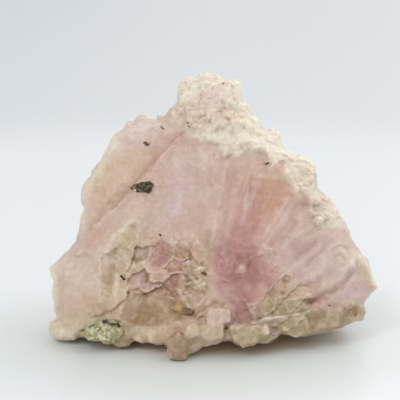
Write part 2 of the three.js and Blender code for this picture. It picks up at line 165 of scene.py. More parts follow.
@dataclass(frozen=True)
class Roughness:
    """Repeatable unevenness in space, from hashed lattice cells."""

    seed: int

    def _hash(self, cells: Array, channel: int = 0) -> Array:
        """A number from 0 to 1 for each lattice cell.

        Args:
            cells: Whole-number x, y and z of each cell.
            channel: Which of several independent numbers.

        Returns:
            The numbers.
        """
        x, y, z = cells[..., 0], cells[..., 1], cells[..., 2]
        salt = self.seed * 40503 + channel * 9973
        n = (x * 73856093) ^ (y * 19349663) ^ (z * 83492791) ^ salt
        n = ((n ^ (n >> 13)) * 1274126177) & 0x7FFFFFFF
        n = ((n ^ (n >> 15)) * 668265263) & 0x7FFFFFFF
        return ((n ^ (n >> 16)) & 0xFFFFF) / float(0xFFFFF)

    def smooth(self, points: Array, size: float) -> Array:
        """Soft lumps.

        Args:
            points: Points in space.
            size: Width of a lump.

        Returns:
            Height at each point, from -1 to 1.
        """
        scaled = points / size
        cell = np.floor(scaled).astype(np.int64)
        part = scaled - cell
        part = part * part * part * (part * (part * 6.0 - 15.0) + 10.0)
        total = np.zeros(len(points))
        for corner in np.ndindex(2, 2, 2):
            step = np.array(corner)
            share = np.prod(np.where(step == 1, part, 1.0 - part), axis=1)
            total += share * self._hash(cell + step)
        return total * 2.0 - 1.0

    def fractal(self, points: Array, size: float, octaves: int = 3) -> Array:
        """Soft lumps with finer lumps on them.

        Args:
            points: Points in space.
            size: Width of the largest lumps.
            octaves: Number of sizes, each half of the one before.

        Returns:
            Height at each point, from -1 to 1.
        """
        total = np.zeros(len(points))
        for octave in range(octaves):
            layer = Roughness(self.seed + 17 * octave)
            total += 0.5**octave * layer.smooth(points, size / 2.0**octave)
        return total / (2.0 - 0.5 ** (octaves - 1))

    def facets(self, points: Array, size: float) -> Array:
        """Broken facets: flat triangles that meet along crisp edges.

        Args:
            points: Points in space.
            size: Width of a facet.

        Returns:
            Height at each point, from -1 to 1.
        """
        scaled = points @ SKEW / size
        cell = np.floor(scaled).astype(np.int64)
        part = scaled - cell
        order = np.argsort(-part, axis=1)
        part = np.take_along_axis(part, order, axis=1)
        rows = np.arange(len(points))
        value = self._hash(cell) * (1.0 - part[:, 0])
        for k in range(3):
            cell[rows, order[:, k]] += 1
            value += self._hash(cell) * (part[:, k] - (part[:, k + 1] if k < 2 else 0.0))
        return value * 2.0 - 1.0

    def knobs(self, points: Array, size: float) -> Array:
        """Rounded knobs, with creases where they meet.

        Args:
            points: Points in space.
            size: Width of a knob.

        Returns:
            Height at each point, from -1 to 1.
        """
        scaled = points / size
        cell = np.floor(scaled).astype(np.int64)
        nearest = np.full(len(points), np.inf)
        for offset in np.ndindex(3, 3, 3):
            other = cell + np.array(offset) - 1
            jitter = np.stack([self._hash(other, k) for k in (1, 2, 3)], axis=-1)
            away = scaled - (other + jitter)
            nearest = np.minimum(nearest, np.einsum("ij,ij->i", away, away))
        return 1.0 - 2.0 * np.clip(nearest * 1.4, 0.0, 1.0)


# ---- Shapes on the face ----

@dataclass(frozen=True)
class Stretch:
    """A straight stretch between two points of the drawing."""

    start: Point
    end: Point

    @classmethod
    def through(cls, points: Sequence[Point]) -> list["Stretch"]:
        """The stretches of a line through points."""
        return [cls(start, end) for start, end in zip(points, points[1:])]

    @property
    def way(self) -> Point:
        """Its run to the right and up."""
        return (self.end[0] - self.start[0], self.end[1] - self.start[1])

    def away(self, u: Array, v: Array) -> Array:
        """Distance to the stretch.

        Args:
            u: Places across the drawing.
            v: Places up it.

        Returns:
            The distance of each place.
        """
        du, dv = self.way
        right, up = u - self.start[0], v - self.start[1]
        share = np.clip((right * du + up * dv) / (du * du + dv * dv), 0.0, 1.0)
        return np.hypot(right - share * du, up - share * dv)

    def left(self, u: Array, v: Array) -> Array:
        """How far each place lies to the left of the stretch's line."""
        du, dv = self.way
        return (du * (v - self.start[1]) - dv * (u - self.start[0])) / math.hypot(du, dv)


class Shape:
    """A region of the drawing."""

    def inside(self, u: Array, v: Array) -> Array:
        """How far places belong to the region.

        Args:
            u: Places across the drawing.
            v: Places up it.

        Returns:
            A share from 0 to 1 for each place.
        """
        raise NotImplementedError


@dataclass(frozen=True)
class Spot(Shape):
    """A soft-edged ellipse."""

    u: float
    v: float
    wide: float
    high: float
    turn: float = 0.0

    def inside(self, u: Array, v: Array) -> Array:
        """How far places belong to the ellipse.

        Args:
            u: Places across the drawing.
            v: Places up it.

        Returns:
            A share from 0 to 1 for each place.
        """
        angle = math.radians(self.turn)
        along = (u - self.u) * math.cos(angle) + (v - self.v) * math.sin(angle)
        across = (v - self.v) * math.cos(angle) - (u - self.u) * math.sin(angle)
        return np.exp(-((along / self.wide) ** 2) - (across / self.high) ** 2)


@dataclass(frozen=True)
class Line(Shape):
    """A soft line through points."""

    width: float
    points: tuple[Point, ...]

    def inside(self, u: Array, v: Array) -> Array:
        """How far places belong to the line."""
        away = np.minimum.reduce([stretch.away(u, v) for stretch in Stretch.through(self.points)])
        return np.exp(-((away / self.width) ** 2))


@dataclass(frozen=True)
class Patch(Shape):
    """A polygon with an edge of a given softness."""

    soft: float
    corners: tuple[Point, ...]

    def inside(self, u: Array, v: Array) -> Array:
        """How far places belong to the polygon.

        Args:
            u: Places across the drawing.
            v: Places up it.

        Returns:
            A share from 0 to 1 for each place.
        """
        best = np.full(len(u), np.inf)
        within = np.zeros(len(u), bool)
        for side in Stretch.through(self.corners + self.corners[:1]):
            best = np.minimum(best, side.away(u, v))
            (u0, v0), (_, v1) = side.start, side.end
            if v0 != v1:
                du, dv = side.way
                within ^= ((v0 > v) != (v1 > v)) & (u < u0 + du * (v - v0) / dv)
        return smoothstep(-self.soft, self.soft, np.where(within, best, -best))


@dataclass(frozen=True)
class Drop(Shape):
    """The low side of a break: full just left of a line through points, and gone at some distance from it."""

    soft: float
    reach: float
    points: tuple[Point, ...]

    def inside(self, u: Array, v: Array) -> Array:
        """How far places belong to the low side.

        Args:
            u: Places across the drawing.
            v: Places up it.

        Returns:
            A share from 0 to 1 for each place.
        """
        best = np.full(len(u), np.inf)
        side = np.zeros(len(u))
        for stretch in Stretch.through(self.points):
            away, left = stretch.away(u, v), stretch.left(u, v)
            tied = (np.abs(away - best) < TINY) & (np.abs(left) > np.abs(side))
            side = np.where((away < best - TINY) | tied, left, side)
            best = np.minimum(best, away)
        distance = np.sign(side) * best
        return smoothstep(-self.soft, self.soft, distance) * smoothstep(self.reach, 0.0, np.abs(distance))


@dataclass(frozen=True)
class Fan:
    """The fan of growth streaks that opens upwards and to the right from the rose heart."""

    centre: Point = (-2.0, 4.0)
    usual_radius: float = 26.0

    def across(self, u: Array, v: Array) -> Array:
        """Distance across the streaks, in millimetres at the usual radius."""
        return np.arctan2(u - self.centre[0], np.maximum(v - self.centre[1], 0.5)) * self.usual_radius

    def along(self, u: Array, v: Array) -> Array:
        """Distance along the streaks."""
        return np.hypot(u - self.centre[0], v - self.centre[1])


FAN = Fan()


def bent(u: Array, v: Array) -> tuple[Array, Array]:
    """Places shifted a little to and fro, so that drawn edges break up like stone.

    Args:
        u: Places across the drawing.
        v: Places up it.

    Returns:
        The shifted places across and up.
    """
    bend = Roughness(31)
    at = np.stack([u, v, 0.0 * u], axis=-1)
    shift = [
        0.34 * bend.facets(at + away, 1.5) + 0.16 * bend.smooth(at + away, 0.7) for away in (0.0, 50.0)
    ]
    return u + shift[0], v + shift[1]


def arc(u: float, v: float, radius: float, start: float, end: float) -> tuple[Point, ...]:
    """Points round a middle, from one direction to another in degrees."""
    turns = np.radians(np.linspace(start, end, 13))
    return tuple((u + radius * 0.85 * math.cos(a), v + radius * math.sin(a)) for a in turns)


class Hue(Enum):
    """The colours of the quartz, as display values, each worn as a weight over the surface."""

    PEACH = (212, 184, 156)
    SALMON = (208, 164, 142)
    ROSE = (194, 143, 134)
    WINE = (156, 102, 103)
    MAUVE = (188, 156, 148)
    LILAC = (208, 183, 181)
    CLOUD = (225, 207, 199)
    CREAM = (247, 236, 220)
    SAND = (212, 193, 163)
    OLIVE = (172, 157, 118)
    TAN = (160, 127, 71)
    UMBER = (72, 46, 32)

    @property
    def label(self) -> str:
        """The name of its weight."""
        return self.name.lower()


PEACH, SALMON, ROSE, WINE, MAUVE, LILAC, CLOUD, CREAM, SAND, OLIVE, TAN, UMBER = Hue


@dataclass(frozen=True)
class Mark:
    """One feature of the broken face: a rise or hollow, a patch of colour, or both; the colour is the stone's
    own on most marks and painted shade or highlight on some.

    A line thinner than thin_line is always broken into patches.
    """

    thin_line: ClassVar[float] = 0.35
    thin_patches: ClassVar[float] = 1.7

    shape: Shape
    hue: Hue | None = None
    strength: float = 0.0
    rise: float = 0.0
    patches: float = 0.0

    def reach(self, u: Array, v: Array) -> Array:
        """How far the mark holds, whole or broken into patches of the given width.

        Args:
            u: Places across the drawing.
            v: Places up it.

        Returns:
            A share from 0 to 1 for each place.
        """
        share = self.shape.inside(u, v)
        width = self.patches
        if not width and isinstance(self.shape, Line) and self.shape.width < self.thin_line:
            width = self.thin_patches
        if width:
            at = np.stack([u, v, 0.0 * u + 7.3 * width + 31.0 * self.strength], axis=-1)
            share = share * smoothstep(-0.25, 0.3, Roughness(91).facets(at, width))
        return share


def spot(
    hue: Hue, strength: float, u: float, v: float, wide: float, high: float, turn: float = 0.0, **more: float
) -> Mark:
    """A mark in a soft ellipse."""
    return Mark(Spot(u, v, wide, high, turn), hue, strength, **more)


def line(hue: Hue, strength: float, width: float, *points: Point, **more: float) -> Mark:
    """A mark along a soft line."""
    return Mark(Line(width, points), hue, strength, **more)


def area(hue: Hue, strength: float, soft: float, *corners: Point, **more: float) -> Mark:
    """A mark in a soft-edged polygon."""
    return Mark(Patch(soft, corners), hue, strength, **more)


class Break(Enum):
    """The ways that the quartz is broken or grown."""

    FACETS = "facets"
    KNOBS = "knobs"
    PLATES = "plates"
    STREAKS = "streaks"


FACETS, KNOBS, PLATES, STREAKS = Break


@dataclass(frozen=True)
class Rubble:
    """A stretch of the face with a fine relief of its own."""

    shape: Shape
    kind: Break
    size: float
    height: float
    seed: int
    turn: float = 0.0

    def relief(self, u: Array, v: Array, w: Array) -> Array:
        """The relief over the region.

        Args:
            u: Places across the drawing.
            v: Places up it.
            w: Places out of it.

        Returns:
            Height at each place, in millimetres.
        """
        source = Roughness(self.seed)
        if self.kind is STREAKS:
            points = np.stack([FAN.across(u, v), FAN.along(u, v) / 9.0, 0.0 * u], axis=-1)
            height = source.fractal(points, self.size, 2)
        else:
            points = np.stack([u, v, w], axis=-1)
            points = points + 0.25 * self.size * Roughness(self.seed + 3).smooth(points, self.size)[:, None]
            height = source.facets(points, self.size)
            if self.kind is KNOBS:
                height = source.knobs(points, self.size)
            if self.kind is PLATES:
                angle = math.radians(self.turn)
                steps = (u * math.sin(angle) - v * math.cos(angle)) / self.size
                steps = steps + 0.9 * source.facets(points, 2.6 * self.size)
                height = 2.0 * (steps - np.floor(steps)) - 1.0
        return self.shape.inside(u, v) * self.height * height


STREAKY = Patch(5, ((-14, 30), (-16, 44), (-6, 54), (12, 52), (24, 40), (36, 26), (30, 18), (14, 20),
    (0, 20), (-4, 30)))
CALM = (STREAKY, Patch(2, ((-31, 33), (-31, 44), (-24, 52), (-14, 58), (-12, 54), (-20, 45), (-28, 36))),
    Patch(2.5, ((-36, 11), (-36, 22), (-29, 28), (-26, 16), (-28, 11))), Patch(1.5, ((-23, 16), (-24, 31),
    (-8, 32), (2, 28), (14, 30), (15, 14), (8, 9), (1, 13), (-8, 14), (-16, 15))), Patch(1.2, ((-22, 16),
    (-18, 17.6), (-8, 16), (-6, 12), (-10, 9), (-19, 9), (-23, 11))), Patch(1.2, ((12, 10), (12, 18),
    (17, 22), (26, 21), (34, 22), (37, 17), (28, 10), (18, 8.6))))
LEDGE = ((-6, 58.2), (-9.6, 55.2), (-14.8, 49.7), (-18.1, 46), (-20.5, 43.2), (-23.7, 39.4), (-28, 34.8),
    (-33, 29.8))
LOWER_LEDGE = ((-23.7, 39.4), (-28.2, 35), (-32.2, 31.2), (-36.5, 27.6), (-40.6, 23))
CRUST_EDGE = ((-6.4, 56.4), (-3.5, 54.8), (1, 54), (2.3, 51.6), (6.4, 51), (8.6, 52.6), (11.6, 53),
    (13.5, 51.1), (14.4, 48.2), (15.9, 49.6), (17.4, 49.6), (17.8, 46.8), (19.6, 44.4), (20.4, 42.2),
    (22.2, 42.6), (23.8, 40.6), (23.8, 38.6), (25.2, 35.6))
CRUST = Patch(0.7, CRUST_EDGE + ((27.4, 32.8), (44, 36), (34, 52), (12, 84), (-14, 84), (-10.5, 60)))
GRAINY = ((-7.8, 24), (-4.2, 24.6), (-1.6, 23), (-1, 17), (-3, 13.6), (-6.6, 14.6), (-8, 18))
HEART = ((-0.6, 27.5), (1, 30), (5.6, 30.6), (10.6, 29.4), (13, 26.6), (15.6, 22.5), (14.8, 19),
    (12.2, 15.8), (10.6, 13.4), (11.6, 10.2), (7.1, 8.9), (4.2, 9.6), (3.6, 14), (-0.2, 18.5))

LEFT_CHIP = ((-7.5, 7), (-6.6, 8.8), (-5, 9.3), (-3.4, 8.4), (-3.5, 6.2), (-5.6, 5.2), (-7.2, 5.8))
SQUARE_CHIP = ((-3.6, 8.4), (-1.6, 9.3), (2.4, 8.8), (2.5, 5.8), (-0.4, 4.6), (-3.4, 5.4))
UPPER_CHIP = ((-1.9, 10.6), (-1.2, 12.5), (1, 13), (4.1, 12.5), (4.4, 9.6), (1, 9), (-1.6, 9.2))

FACE_MARKS: tuple[Mark, ...] = (
    # The peach slab, upper left, lies behind the ledge.
    Mark(Drop(0.35, 7, LEDGE[::-1]), rise=-0.9),
    area(PEACH, 0.7, 3, (-33, 31), (-33, 44), (-26, 52.5), (-17, 52), (-18.5, 46), (-28, 35)),
    spot(SAND, 0.55, -28.5, 46, 4, 2, 50),
    spot(SAND, 0.5, -23, 50.4, 4, 1.8, 20),
    spot(CLOUD, 0.4, -31, 39, 2.2, 3.6, -20),
    # Painted shade: tan and salmon along the foot of the ledge, on the slab's side.
    Mark(Drop(0.4, 3.4, LEDGE[::-1]), TAN, 0.3),
    spot(SALMON, 0.42, -16.2, 50.6, 6.5, 2, 52),
    spot(SALMON, 0.4, -28.6, 36.4, 4.4, 1.4, 48),
    spot(SALMON, 0.4, -10.5, 55.2, 4, 1.8, 48),
    spot(CLOUD, 0.85, -20, 57, 6.4, 3.4, 15),
    spot(CREAM, 0.35, -20.6, 57.6, 6.4, 2.6, 15),
    spot(LILAC, 0.6, -16, 56.4, 3, 1.6, 15),
    spot(CLOUD, 0.6, -11, 57.4, 3.6, 1.8, 20),
    spot(CLOUD, 0.45, -5, 51.6, 5.6, 2.2, 10),
    spot(CREAM, 0.5, -25.4, 53.8, 3.4, 2.4, 45),
    spot(SAND, 0.4, -14.6, 61.2, 3.6, 1.2, -20),
    line(CREAM, 0.5, 1.4, (-32.6, 32), (-33.6, 38), (-31.6, 44.4), (-25.4, 53)),
    # The strip between the two ledges.
    Mark(Drop(0.3, 3.5, LOWER_LEDGE[::-1]), rise=-0.5),
    area(ROSE, 0.28, 1.2, (-35, 27.4), (-31.5, 30.6), (-24.6, 37.6), (-22.4, 38.6), (-25.6, 33.6),
        (-28.4, 30), (-30, 26)),
    # Painted highlight: the lit top edge of the lower ledge.
    line(CREAM, 0.75, 0.3, (-36, 28.2), (-32.2, 31.2), (-28.4, 34.9), (-23.7, 39.4), rise=0.12),
    # Pale slab: greyish under the dark crystal, clouded down its middle, pink at its sides.
    spot(SAND, 0.4, -20, 36.6, 3.6, 2.4),
    spot(LILAC, 0.85, -8.4, 43.5, 2.2, 7, -6),
    spot(LILAC, 0.6, -10.6, 37.6, 3.2, 2.4, 30),
    line(CLOUD, 0.5, 0.7, (-8.8, 49), (-8, 43), (-9, 38.5), (-11.6, 34.4)),
    spot(MAUVE, 0.35, -11, 32.6, 4.5, 2.2),
    spot(LILAC, 0.45, -3.4, 41, 2.2, 5, 8),
    spot(CLOUD, 0.3, -2.4, 50, 4.6, 2.8),
    spot(ROSE, 0.3, -3.6, 34, 2.4, 3.4),
    spot(PEACH, 0.45, -6.6, 52.8, 2.6, 1.4, 30),
    # The fan of streaks above the heart.
    line(CLOUD, 0.45, 0.45, (-0.6, 28.5), (0.9, 37), (2.7, 46.8), rise=0.1),
    line(CLOUD, 0.4, 0.4, (3.7, 29.5), (4.9, 37), (6.6, 46.2), rise=0.08),
    line(ROSE, 0.4, 0.6, (2.2, 30), (3.2, 38), (4.6, 48)),
    line(OLIVE, 0.6, 0.9, (-1.4, 25.6), (-1.6, 29), (-1.2, 32.6)),
    # The glassy recess under the crust, most orange at its upper right.
    Mark(Drop(0.5, 4, CRUST_EDGE[::-1]), rise=-0.4),
    area(SALMON, 0.6, 2, (5, 49), (12, 50.5), (16.4, 46.5), (19.6, 41.5), (17, 35.6), (12, 30.6), (7, 29),
        (4.6, 31), (5, 40), rise=-0.4),
    area(SALMON, 0.85, 0.6, (9, 45), (12, 45.4), (19.2, 44), (19.4, 41.4), (15, 36.8), (11, 36), (8.8, 40),
        rise=-0.35),
    spot(TAN, 0.22, 13.6, 41.6, 4.4, 3, -10),
    spot(ROSE, 0.8, 9.2, 38.6, 2, 6.4, -8),
    spot(SALMON, 0.5, 14, 40.6, 4.4, 2.6, -30),
    spot(ROSE, 0.85, 8.6, 32, 3.4, 4),
    spot(WINE, 0.24, 9.6, 32.6, 2.2, 4.2, -12),
    spot(SALMON, 0.5, 8.8, 36, 4.2, 4.6, -10),
    spot(WINE, 0.24, 8.8, 36, 3, 6, -8),
    spot(ROSE, 0.3, 3.4, 36, 2.2, 7, 6),
    line(PEACH, 0.4, 1, (13, 46.2), (19.6, 44.8)),
    spot(PEACH, 0.5, 9.4, 48.6, 1.6, 1.8),
    spot(SALMON, 0.5, 18.4, 36.6, 1.8, 3.8, -35),
    spot(SALMON, 0.4, 17.8, 35, 3, 3, -30),
    spot(ROSE, 0.6, 9, 39, 2, 3.4, -8),
    line(CLOUD, 0.4, 0.5, (12.4, 30.6), (15.4, 35.4), (18.9, 41.4), rise=0.15),
    line(ROSE, 0.5, 1.5, (13.4, 28.6), (18, 35), (21.4, 39.6)),
    line(CLOUD, 0.35, 0.5, (17, 30.5), (20.4, 34.5), (23.4, 38.4)),
    # The rose heart.
    area(ROSE, 0.8, 2.4, *HEART, rise=-0.3),
    area(WINE, 0.34, 1.6, *HEART, patches=3.4),
    spot(WINE, 0.55, 7, 24, 4.6, 5, patches=1.9),
    spot(WINE, 0.5, 9.8, 22.4, 3, 2.6, -30, rise=-0.1),
    spot(WINE, 0.5, 6.2, 20, 2.6, 1.4, -10, rise=-0.1),
    spot(ROSE, 0.5, 0.6, 22.4, 2.2, 4.4),
    spot(MAUVE, 0.5, 4.6, 16.4, 2.2, 2, rise=0.1),
    spot(WINE, 0.3, 6.6, 19, 4, 4.6, 10),
    spot(WINE, 0.4, 8.6, 17, 2.6, 1.4, 20, patches=1.6),
    spot(WINE, 0.55, 7.6, 12.4, 2.6, 3.4),
    spot(UMBER, 0.3, 7.6, 9.2, 3.4, 0.9, rise=-0.2),
    spot(WINE, 0.4, 8.6, 11, 2.2, 1.4, rise=-0.1, patches=1.4),
    area(PEACH, 0.75, 0.25, (5.8, 22), (6.3, 23.8), (7.2, 24.2), (7.9, 23.6), (8, 22), (7.2, 21.4),
        rise=0.2),
    spot(WINE, 0.8, 8.9, 23.6, 0.5, 0.9, rise=-0.2),
    spot(WINE, 0.7, 9.6, 24.6, 1.2, 0.4, 30, rise=-0.1),
    spot(WINE, 0.7, 5.1, 23.2, 0.4, 1.1, rise=-0.15),
    spot(WINE, 0.6, 7, 20.2, 1.6, 0.4, 10, rise=-0.1),
    line(CLOUD, 0.6, 0.3, (8.2, 13), (9.2, 13.9), (10.8, 14.6), rise=0.1),
    line(CLOUD, 0.5, 0.25, (9.2, 12), (9.8, 13), (10.2, 14), rise=0.1),
    spot(UMBER, 0.35, 11, 11.4, 1.1, 2, 20, rise=-0.2),
    # Lavender folds that fan out to the right: the cloud white on their raised crests is painted highlight,
    # the mauve in their grooves painted shade.
    area(LILAC, 0.3, 2.5, (14, 25), (19, 34), (27, 37), (33, 31), (36, 24), (30, 19), (22, 19), (16.5, 22)),
    spot(LILAC, 0.5, 27.4, 25.4, 3.4, 3, 40, rise=0.2),
    line(ROSE, 0.3, 1, (14.4, 23.4), (18.6, 27.6), (22.6, 31.4)),
    line(MAUVE, 0.6, 0.9, (20.4, 25.4), (23, 27.2), (25.4, 29.6), rise=-0.25),
    line(LILAC, 0.5, 0.9, (16, 24.6), (21, 28.8), (25.6, 31), (29.6, 31.4), rise=0.2),
    line(CLOUD, 0.35, 0.8, (18.5, 22.4), (22.4, 24.8), (26.4, 28.4), rise=0.2),
    line(MAUVE, 0.35, 0.9, (22, 20.8), (26, 22.6), (28.4, 25.4), rise=-0.15),
    line(MAUVE, 0.4, 0.8, (16.6, 29.6), (18.8, 31.8), (20.6, 34.6), rise=-0.25),
    line(CLOUD, 0.35, 0.8, (18.2, 28.6), (21.4, 31.4), (24.4, 33.4), rise=0.25),
    line(MAUVE, 0.35, 0.7, (23, 23.8), (26.6, 26.6), (29, 29.8), rise=-0.25),
    line(CLOUD, 0.5, 1, (19.6, 18.8), (23.6, 20.4), (27.2, 23.8), (29, 28), rise=0.25),
    line(MAUVE, 0.3, 0.8, (21.6, 18), (26, 19.4), (29.4, 22.2), rise=-0.25),
    line(CLOUD, 0.45, 0.9, (28, 18.6), (31.4, 20), (34.6, 23.4), (35.2, 26.6), rise=0.25),
    spot(CLOUD, 0.5, 16, 23.6, 1.6, 1.4),
    area(CREAM, 0.75, 0.6, (24.8, 34.6), (26.8, 36.6), (30.2, 36), (31.4, 33.4), (28, 32.4), rise=0.4),
    spot(CREAM, 0.45, 28.6, 33.6, 2.4, 1.6),
    spot(OLIVE, 0.45, 25.4, 35.6, 0.8, 1.2, -30, rise=-0.3),
    area(CLOUD, 0.4, 0.3, (11, 27.4), (12.2, 29.4), (14.6, 28.4), (14.2, 27), (12.6, 26.4), (11, 25.6),
        rise=0.2),
    line(CREAM, 0.4, 0.25, (11.6, 29.6), (12.8, 28.2), (14.8, 27.6), rise=0.1),
    # The rosette.
    spot(LILAC, 0.4, 31.8, 25.4, 3.8, 4.2, rise=0.4),
    spot(SAND, 0.4, 32.6, 25.6, 2.8, 3.2),
    spot(CLOUD, 0.5, 33.4, 21.8, 1.8, 2.2, 30),
    spot(SAND, 0.5, 25.6, 32.4, 2.8, 1.2, 30),
    spot(MAUVE, 0.3, 20.6, 28, 2.6, 3, 40),
    spot(MAUVE, 0.25, 24, 18.4, 3.4, 2.4),
    line(CREAM, 0.4, 0.6, *arc(31.6, 25.2, 3.8, -70, 110), rise=0.25, patches=2.2),
    line(OLIVE, 0.4, 0.4, *arc(31.4, 25.4, 3, -60, 150), rise=-0.25, patches=2.6),
    line(CREAM, 0.4, 0.5, *arc(31.8, 25, 2.2, -90, 130), rise=0.25, patches=1.9),
    line(MAUVE, 0.45, 0.4, *arc(31.4, 24.8, 1.4, -60, 170), rise=-0.2, patches=2.3),
    line(TAN, 0.3, 0.3, (36, 26.8), (36.2, 25.4), (35.6, 23.4), rise=-0.2),
    # The groove under it, and the smooth swell at the lower right.
    line(MAUVE, 0.75, 0.9, (24, 14.8), (28, 16), (31, 17.8), (33.4, 20.2), (34.6, 22.6), rise=-0.7),
    spot(TAN, 0.35, 28.6, 16.4, 3.4, 1, 16),
    area(ROSE, 0.35, 0.6, (22.6, 14.6), (24.6, 15.6), (27, 14.8), (26.4, 12.8), (23.2, 12.8), rise=-0.4),
    spot(TAN, 0.5, 24.2, 14.6, 1.4, 0.5, rise=-0.2),
    area(LILAC, 0.35, 1.6, (25, 15.6), (31, 16.6), (35, 17.4), (38, 15), (30, 11.6), (25, 12.4), rise=0.3),
    spot(MAUVE, 0.4, 29.6, 13.6, 5, 1.8, 8),
    spot(LILAC, 0.7, 35, 17.4, 4.6, 2.2, 15),
    area(SAND, 0.6, 0.5, (35.4, 27.6), (37.2, 26.6), (39.4, 23.6), (40.8, 19.6), (41.2, 18.2), (39.4, 18.6),
        (37.4, 21.4), (35.6, 24.4), rise=0.1),
    spot(OLIVE, 0.3, 38.2, 20.6, 0.9, 2.4, 20),
    line(CREAM, 0.5, 0.9, (40.6, 18.4), (39, 22.4), (36.8, 26)),
    spot(CREAM, 0.4, 39.4, 16.4, 1.8, 1),
    area(TAN, 0.75, 0.4, (31.8, 13.6), (34.6, 14.2), (36, 13), (35.6, 11.2), (32.4, 11), rise=-0.3),
    spot(OLIVE, 0.6, 35, 13.6, 1.8, 1.2),
    area(OLIVE, 0.75, 0.3, (36, 14), (38, 12.8), (37.2, 10), (35.6, 10.8), rise=0.2),
    area(OLIVE, 0.75, 1.4, (22, 13), (27, 12.4), (32, 11.6), (36, 10.2), (31, 7), (22, 5.6)),
    spot(TAN, 0.5, 24.6, 9.6, 2.6, 1.8, 20, rise=-0.3),
    spot(SAND, 0.7, 24.4, 9, 0.6, 0.5, rise=0.2),
    spot(TAN, 0.3, 29.4, 9.8, 4, 1.4, 10),
    # Plates along the lower right.
    area(OLIVE, 0.5, 1, (11.4, 8.6), (12, 14), (16, 16), (23.6, 15.4), (25, 9), (20, 6), (14, 7.4)),
    area(TAN, 0.3, 1, (13.6, 18.6), (16.4, 19.6), (19.8, 17.6), (19, 15.4), (14.2, 14.8), (12.6, 16.4)),
    spot(TAN, 0.5, 18.1, 19.4, 1.4, 1.1, rise=-0.4),
    line(SAND, 0.65, 0.3, (16.2, 18.6), (16.6, 20.8), (18.2, 21.6), (19.8, 20.6), (19.8, 18.6), rise=0.2),
    spot(UMBER, 0.25, 14.2, 16.4, 1.4, 0.9, 30, rise=-0.3),
    spot(TAN, 0.5, 17.2, 17, 0.8, 0.4, 10, rise=-0.3),
    area(SAND, 0.7, 0.2, (18.2, 15.6), (20.2, 18.4), (22.6, 19), (24.4, 16.2), (23, 15.2), (20, 15.2)),
    spot(OLIVE, 0.5, 20.8, 17.2, 1.4, 1.2),
    line(CREAM, 0.7, 0.26, (16.2, 15.8), (18.6, 15.2), (20.4, 15.1), (22.9, 15.3), rise=0.15),
    area(OLIVE, 0.95, 0.6, (11, 12.6), (13.2, 14.8), (18.4, 14.4), (22.9, 15), (24.4, 13), (19.4, 11.4),
        (15.2, 11), (11.4, 10), rise=-0.3),
    spot(TAN, 0.35, 18.6, 11.8, 3.4, 1.4, 10),
    spot(TAN, 0.6, 13, 14, 2, 1.2, -10),
    spot(TAN, 0.6, 14.6, 13, 0.6, 0.8, 30),
    line(SAND, 0.7, 0.25, (12, 10.4), (14.2, 11.8), (15.6, 14.4), rise=0.1),
    line(CREAM, 0.8, 0.26, (11.6, 9.7), (14, 10.5), (17, 10.9), (20, 11.2), (24, 12.4), rise=0.2),
    line(SAND, 0.6, 0.22, (16, 13.6), (19, 13.9), (22.2, 13.2), rise=0.08),
    area(OLIVE, 0.95, 0.4, (14.7, 10), (18.8, 10.2), (23, 11.2), (24, 8.6), (22, 6.4), (19, 5.8),
        (16.6, 7)),
    spot(SAND, 0.7, 17.6, 7.8, 0.8, 0.6, rise=0.2),
    # Painted shade in the gap between the plates.
    spot(UMBER, 0.4, 15, 6.8, 1.6, 1.6, rise=-0.4),
    area(CREAM, 0.85, 0.2, (12, 6.6), (12.3, 8.2), (13, 8.8), (13.7, 8), (13.7, 6.6), (12.9, 6.2)),
    area(OLIVE, 0.85, 0.4, (3.6, 8.4), (7, 8.7), (11.6, 8.9), (12.2, 6.4), (14.6, 6), (14.4, 4), (7, 3.2),
        (4.8, 4.8)),
    spot(SAND, 0.45, 8.6, 7.4, 2.6, 1),
    spot(SAND, 0.5, 3.5, 8, 0.9, 1.3),
    spot(OLIVE, 0.5, 10.6, 5.4, 1.4, 1.2, rise=-0.2),
    spot(TAN, 0.55, 4.6, 6.8, 0.9, 1.2, -20, rise=-0.2),
    line(CREAM, 0.5, 0.22, (3.4, 7.2), (4.2, 8.4), (5.4, 8.9), (11, 9.2), rise=0.1),
    # Cream blocks in the middle of the lower edge.
    area(MAUVE, 0.4, 0.9, (-0.8, 15.4), (-1.2, 20), (3.2, 18.4), (4.2, 14), (1.6, 13.2)),
    area(CLOUD, 0.5, 0.3, *UPPER_CHIP),
    area(SAND, 0.7, 0.3, *SQUARE_CHIP),
    spot(CREAM, 0.4, -2.6, 6.6, 1.8, 1.4),
    spot(OLIVE, 0.4, 0.4, 6.8, 1.6, 1.2),
    area(SAND, 0.7, 0.3, *LEFT_CHIP),
    spot(CREAM, 0.35, -5.8, 7.4, 1.4, 1.2),
    spot(UMBER, 1, 2.9, 7.95, 0.55, 0.3, 30, rise=-0.6),
    line(OLIVE, 0.75, 0.4, (-4.4, 11.2), (-2.4, 12.9), (0.2, 14.2), (2.4, 13.6), rise=-0.25),
    line(CREAM, 0.5, 0.22, (-4.2, 12), (-2.6, 13.5), (-0.4, 14.8), (0.8, 15.4), rise=0.08),
    line(TAN, 0.75, 0.35, (-4, 10.2), (-2.8, 10.8), (-1.8, 10.6), rise=-0.25),
    area(SAND, 0.7, 1, (-7.6, 5), (-3.4, 4.8), (2.4, 4.6), (0, 3.2), (-5, 1.6), (-8, 0.6)),
    # The foot and the tan scoop above it.
    area(TAN, 0.66, 0.7, (-21.6, 15), (-20, 16.9), (-17.4, 16.4), (-13, 16.2), (-9.8, 14.4), (-8.4, 10.4),
        (-11, 8.6), (-19.6, 8.6), (-23.4, 10.6), rise=-0.6),
    spot(TAN, 0.6, -16, 12, 5, 3.6, rise=-0.3),
    spot(TAN, 0.65, -17.2, 9, 3.8, 1.1),
    spot(SAND, 0.5, -11, 11.2, 1.4, 1.4),
    spot(TAN, 0.35, -5.6, 13.8, 1.8, 1.2),
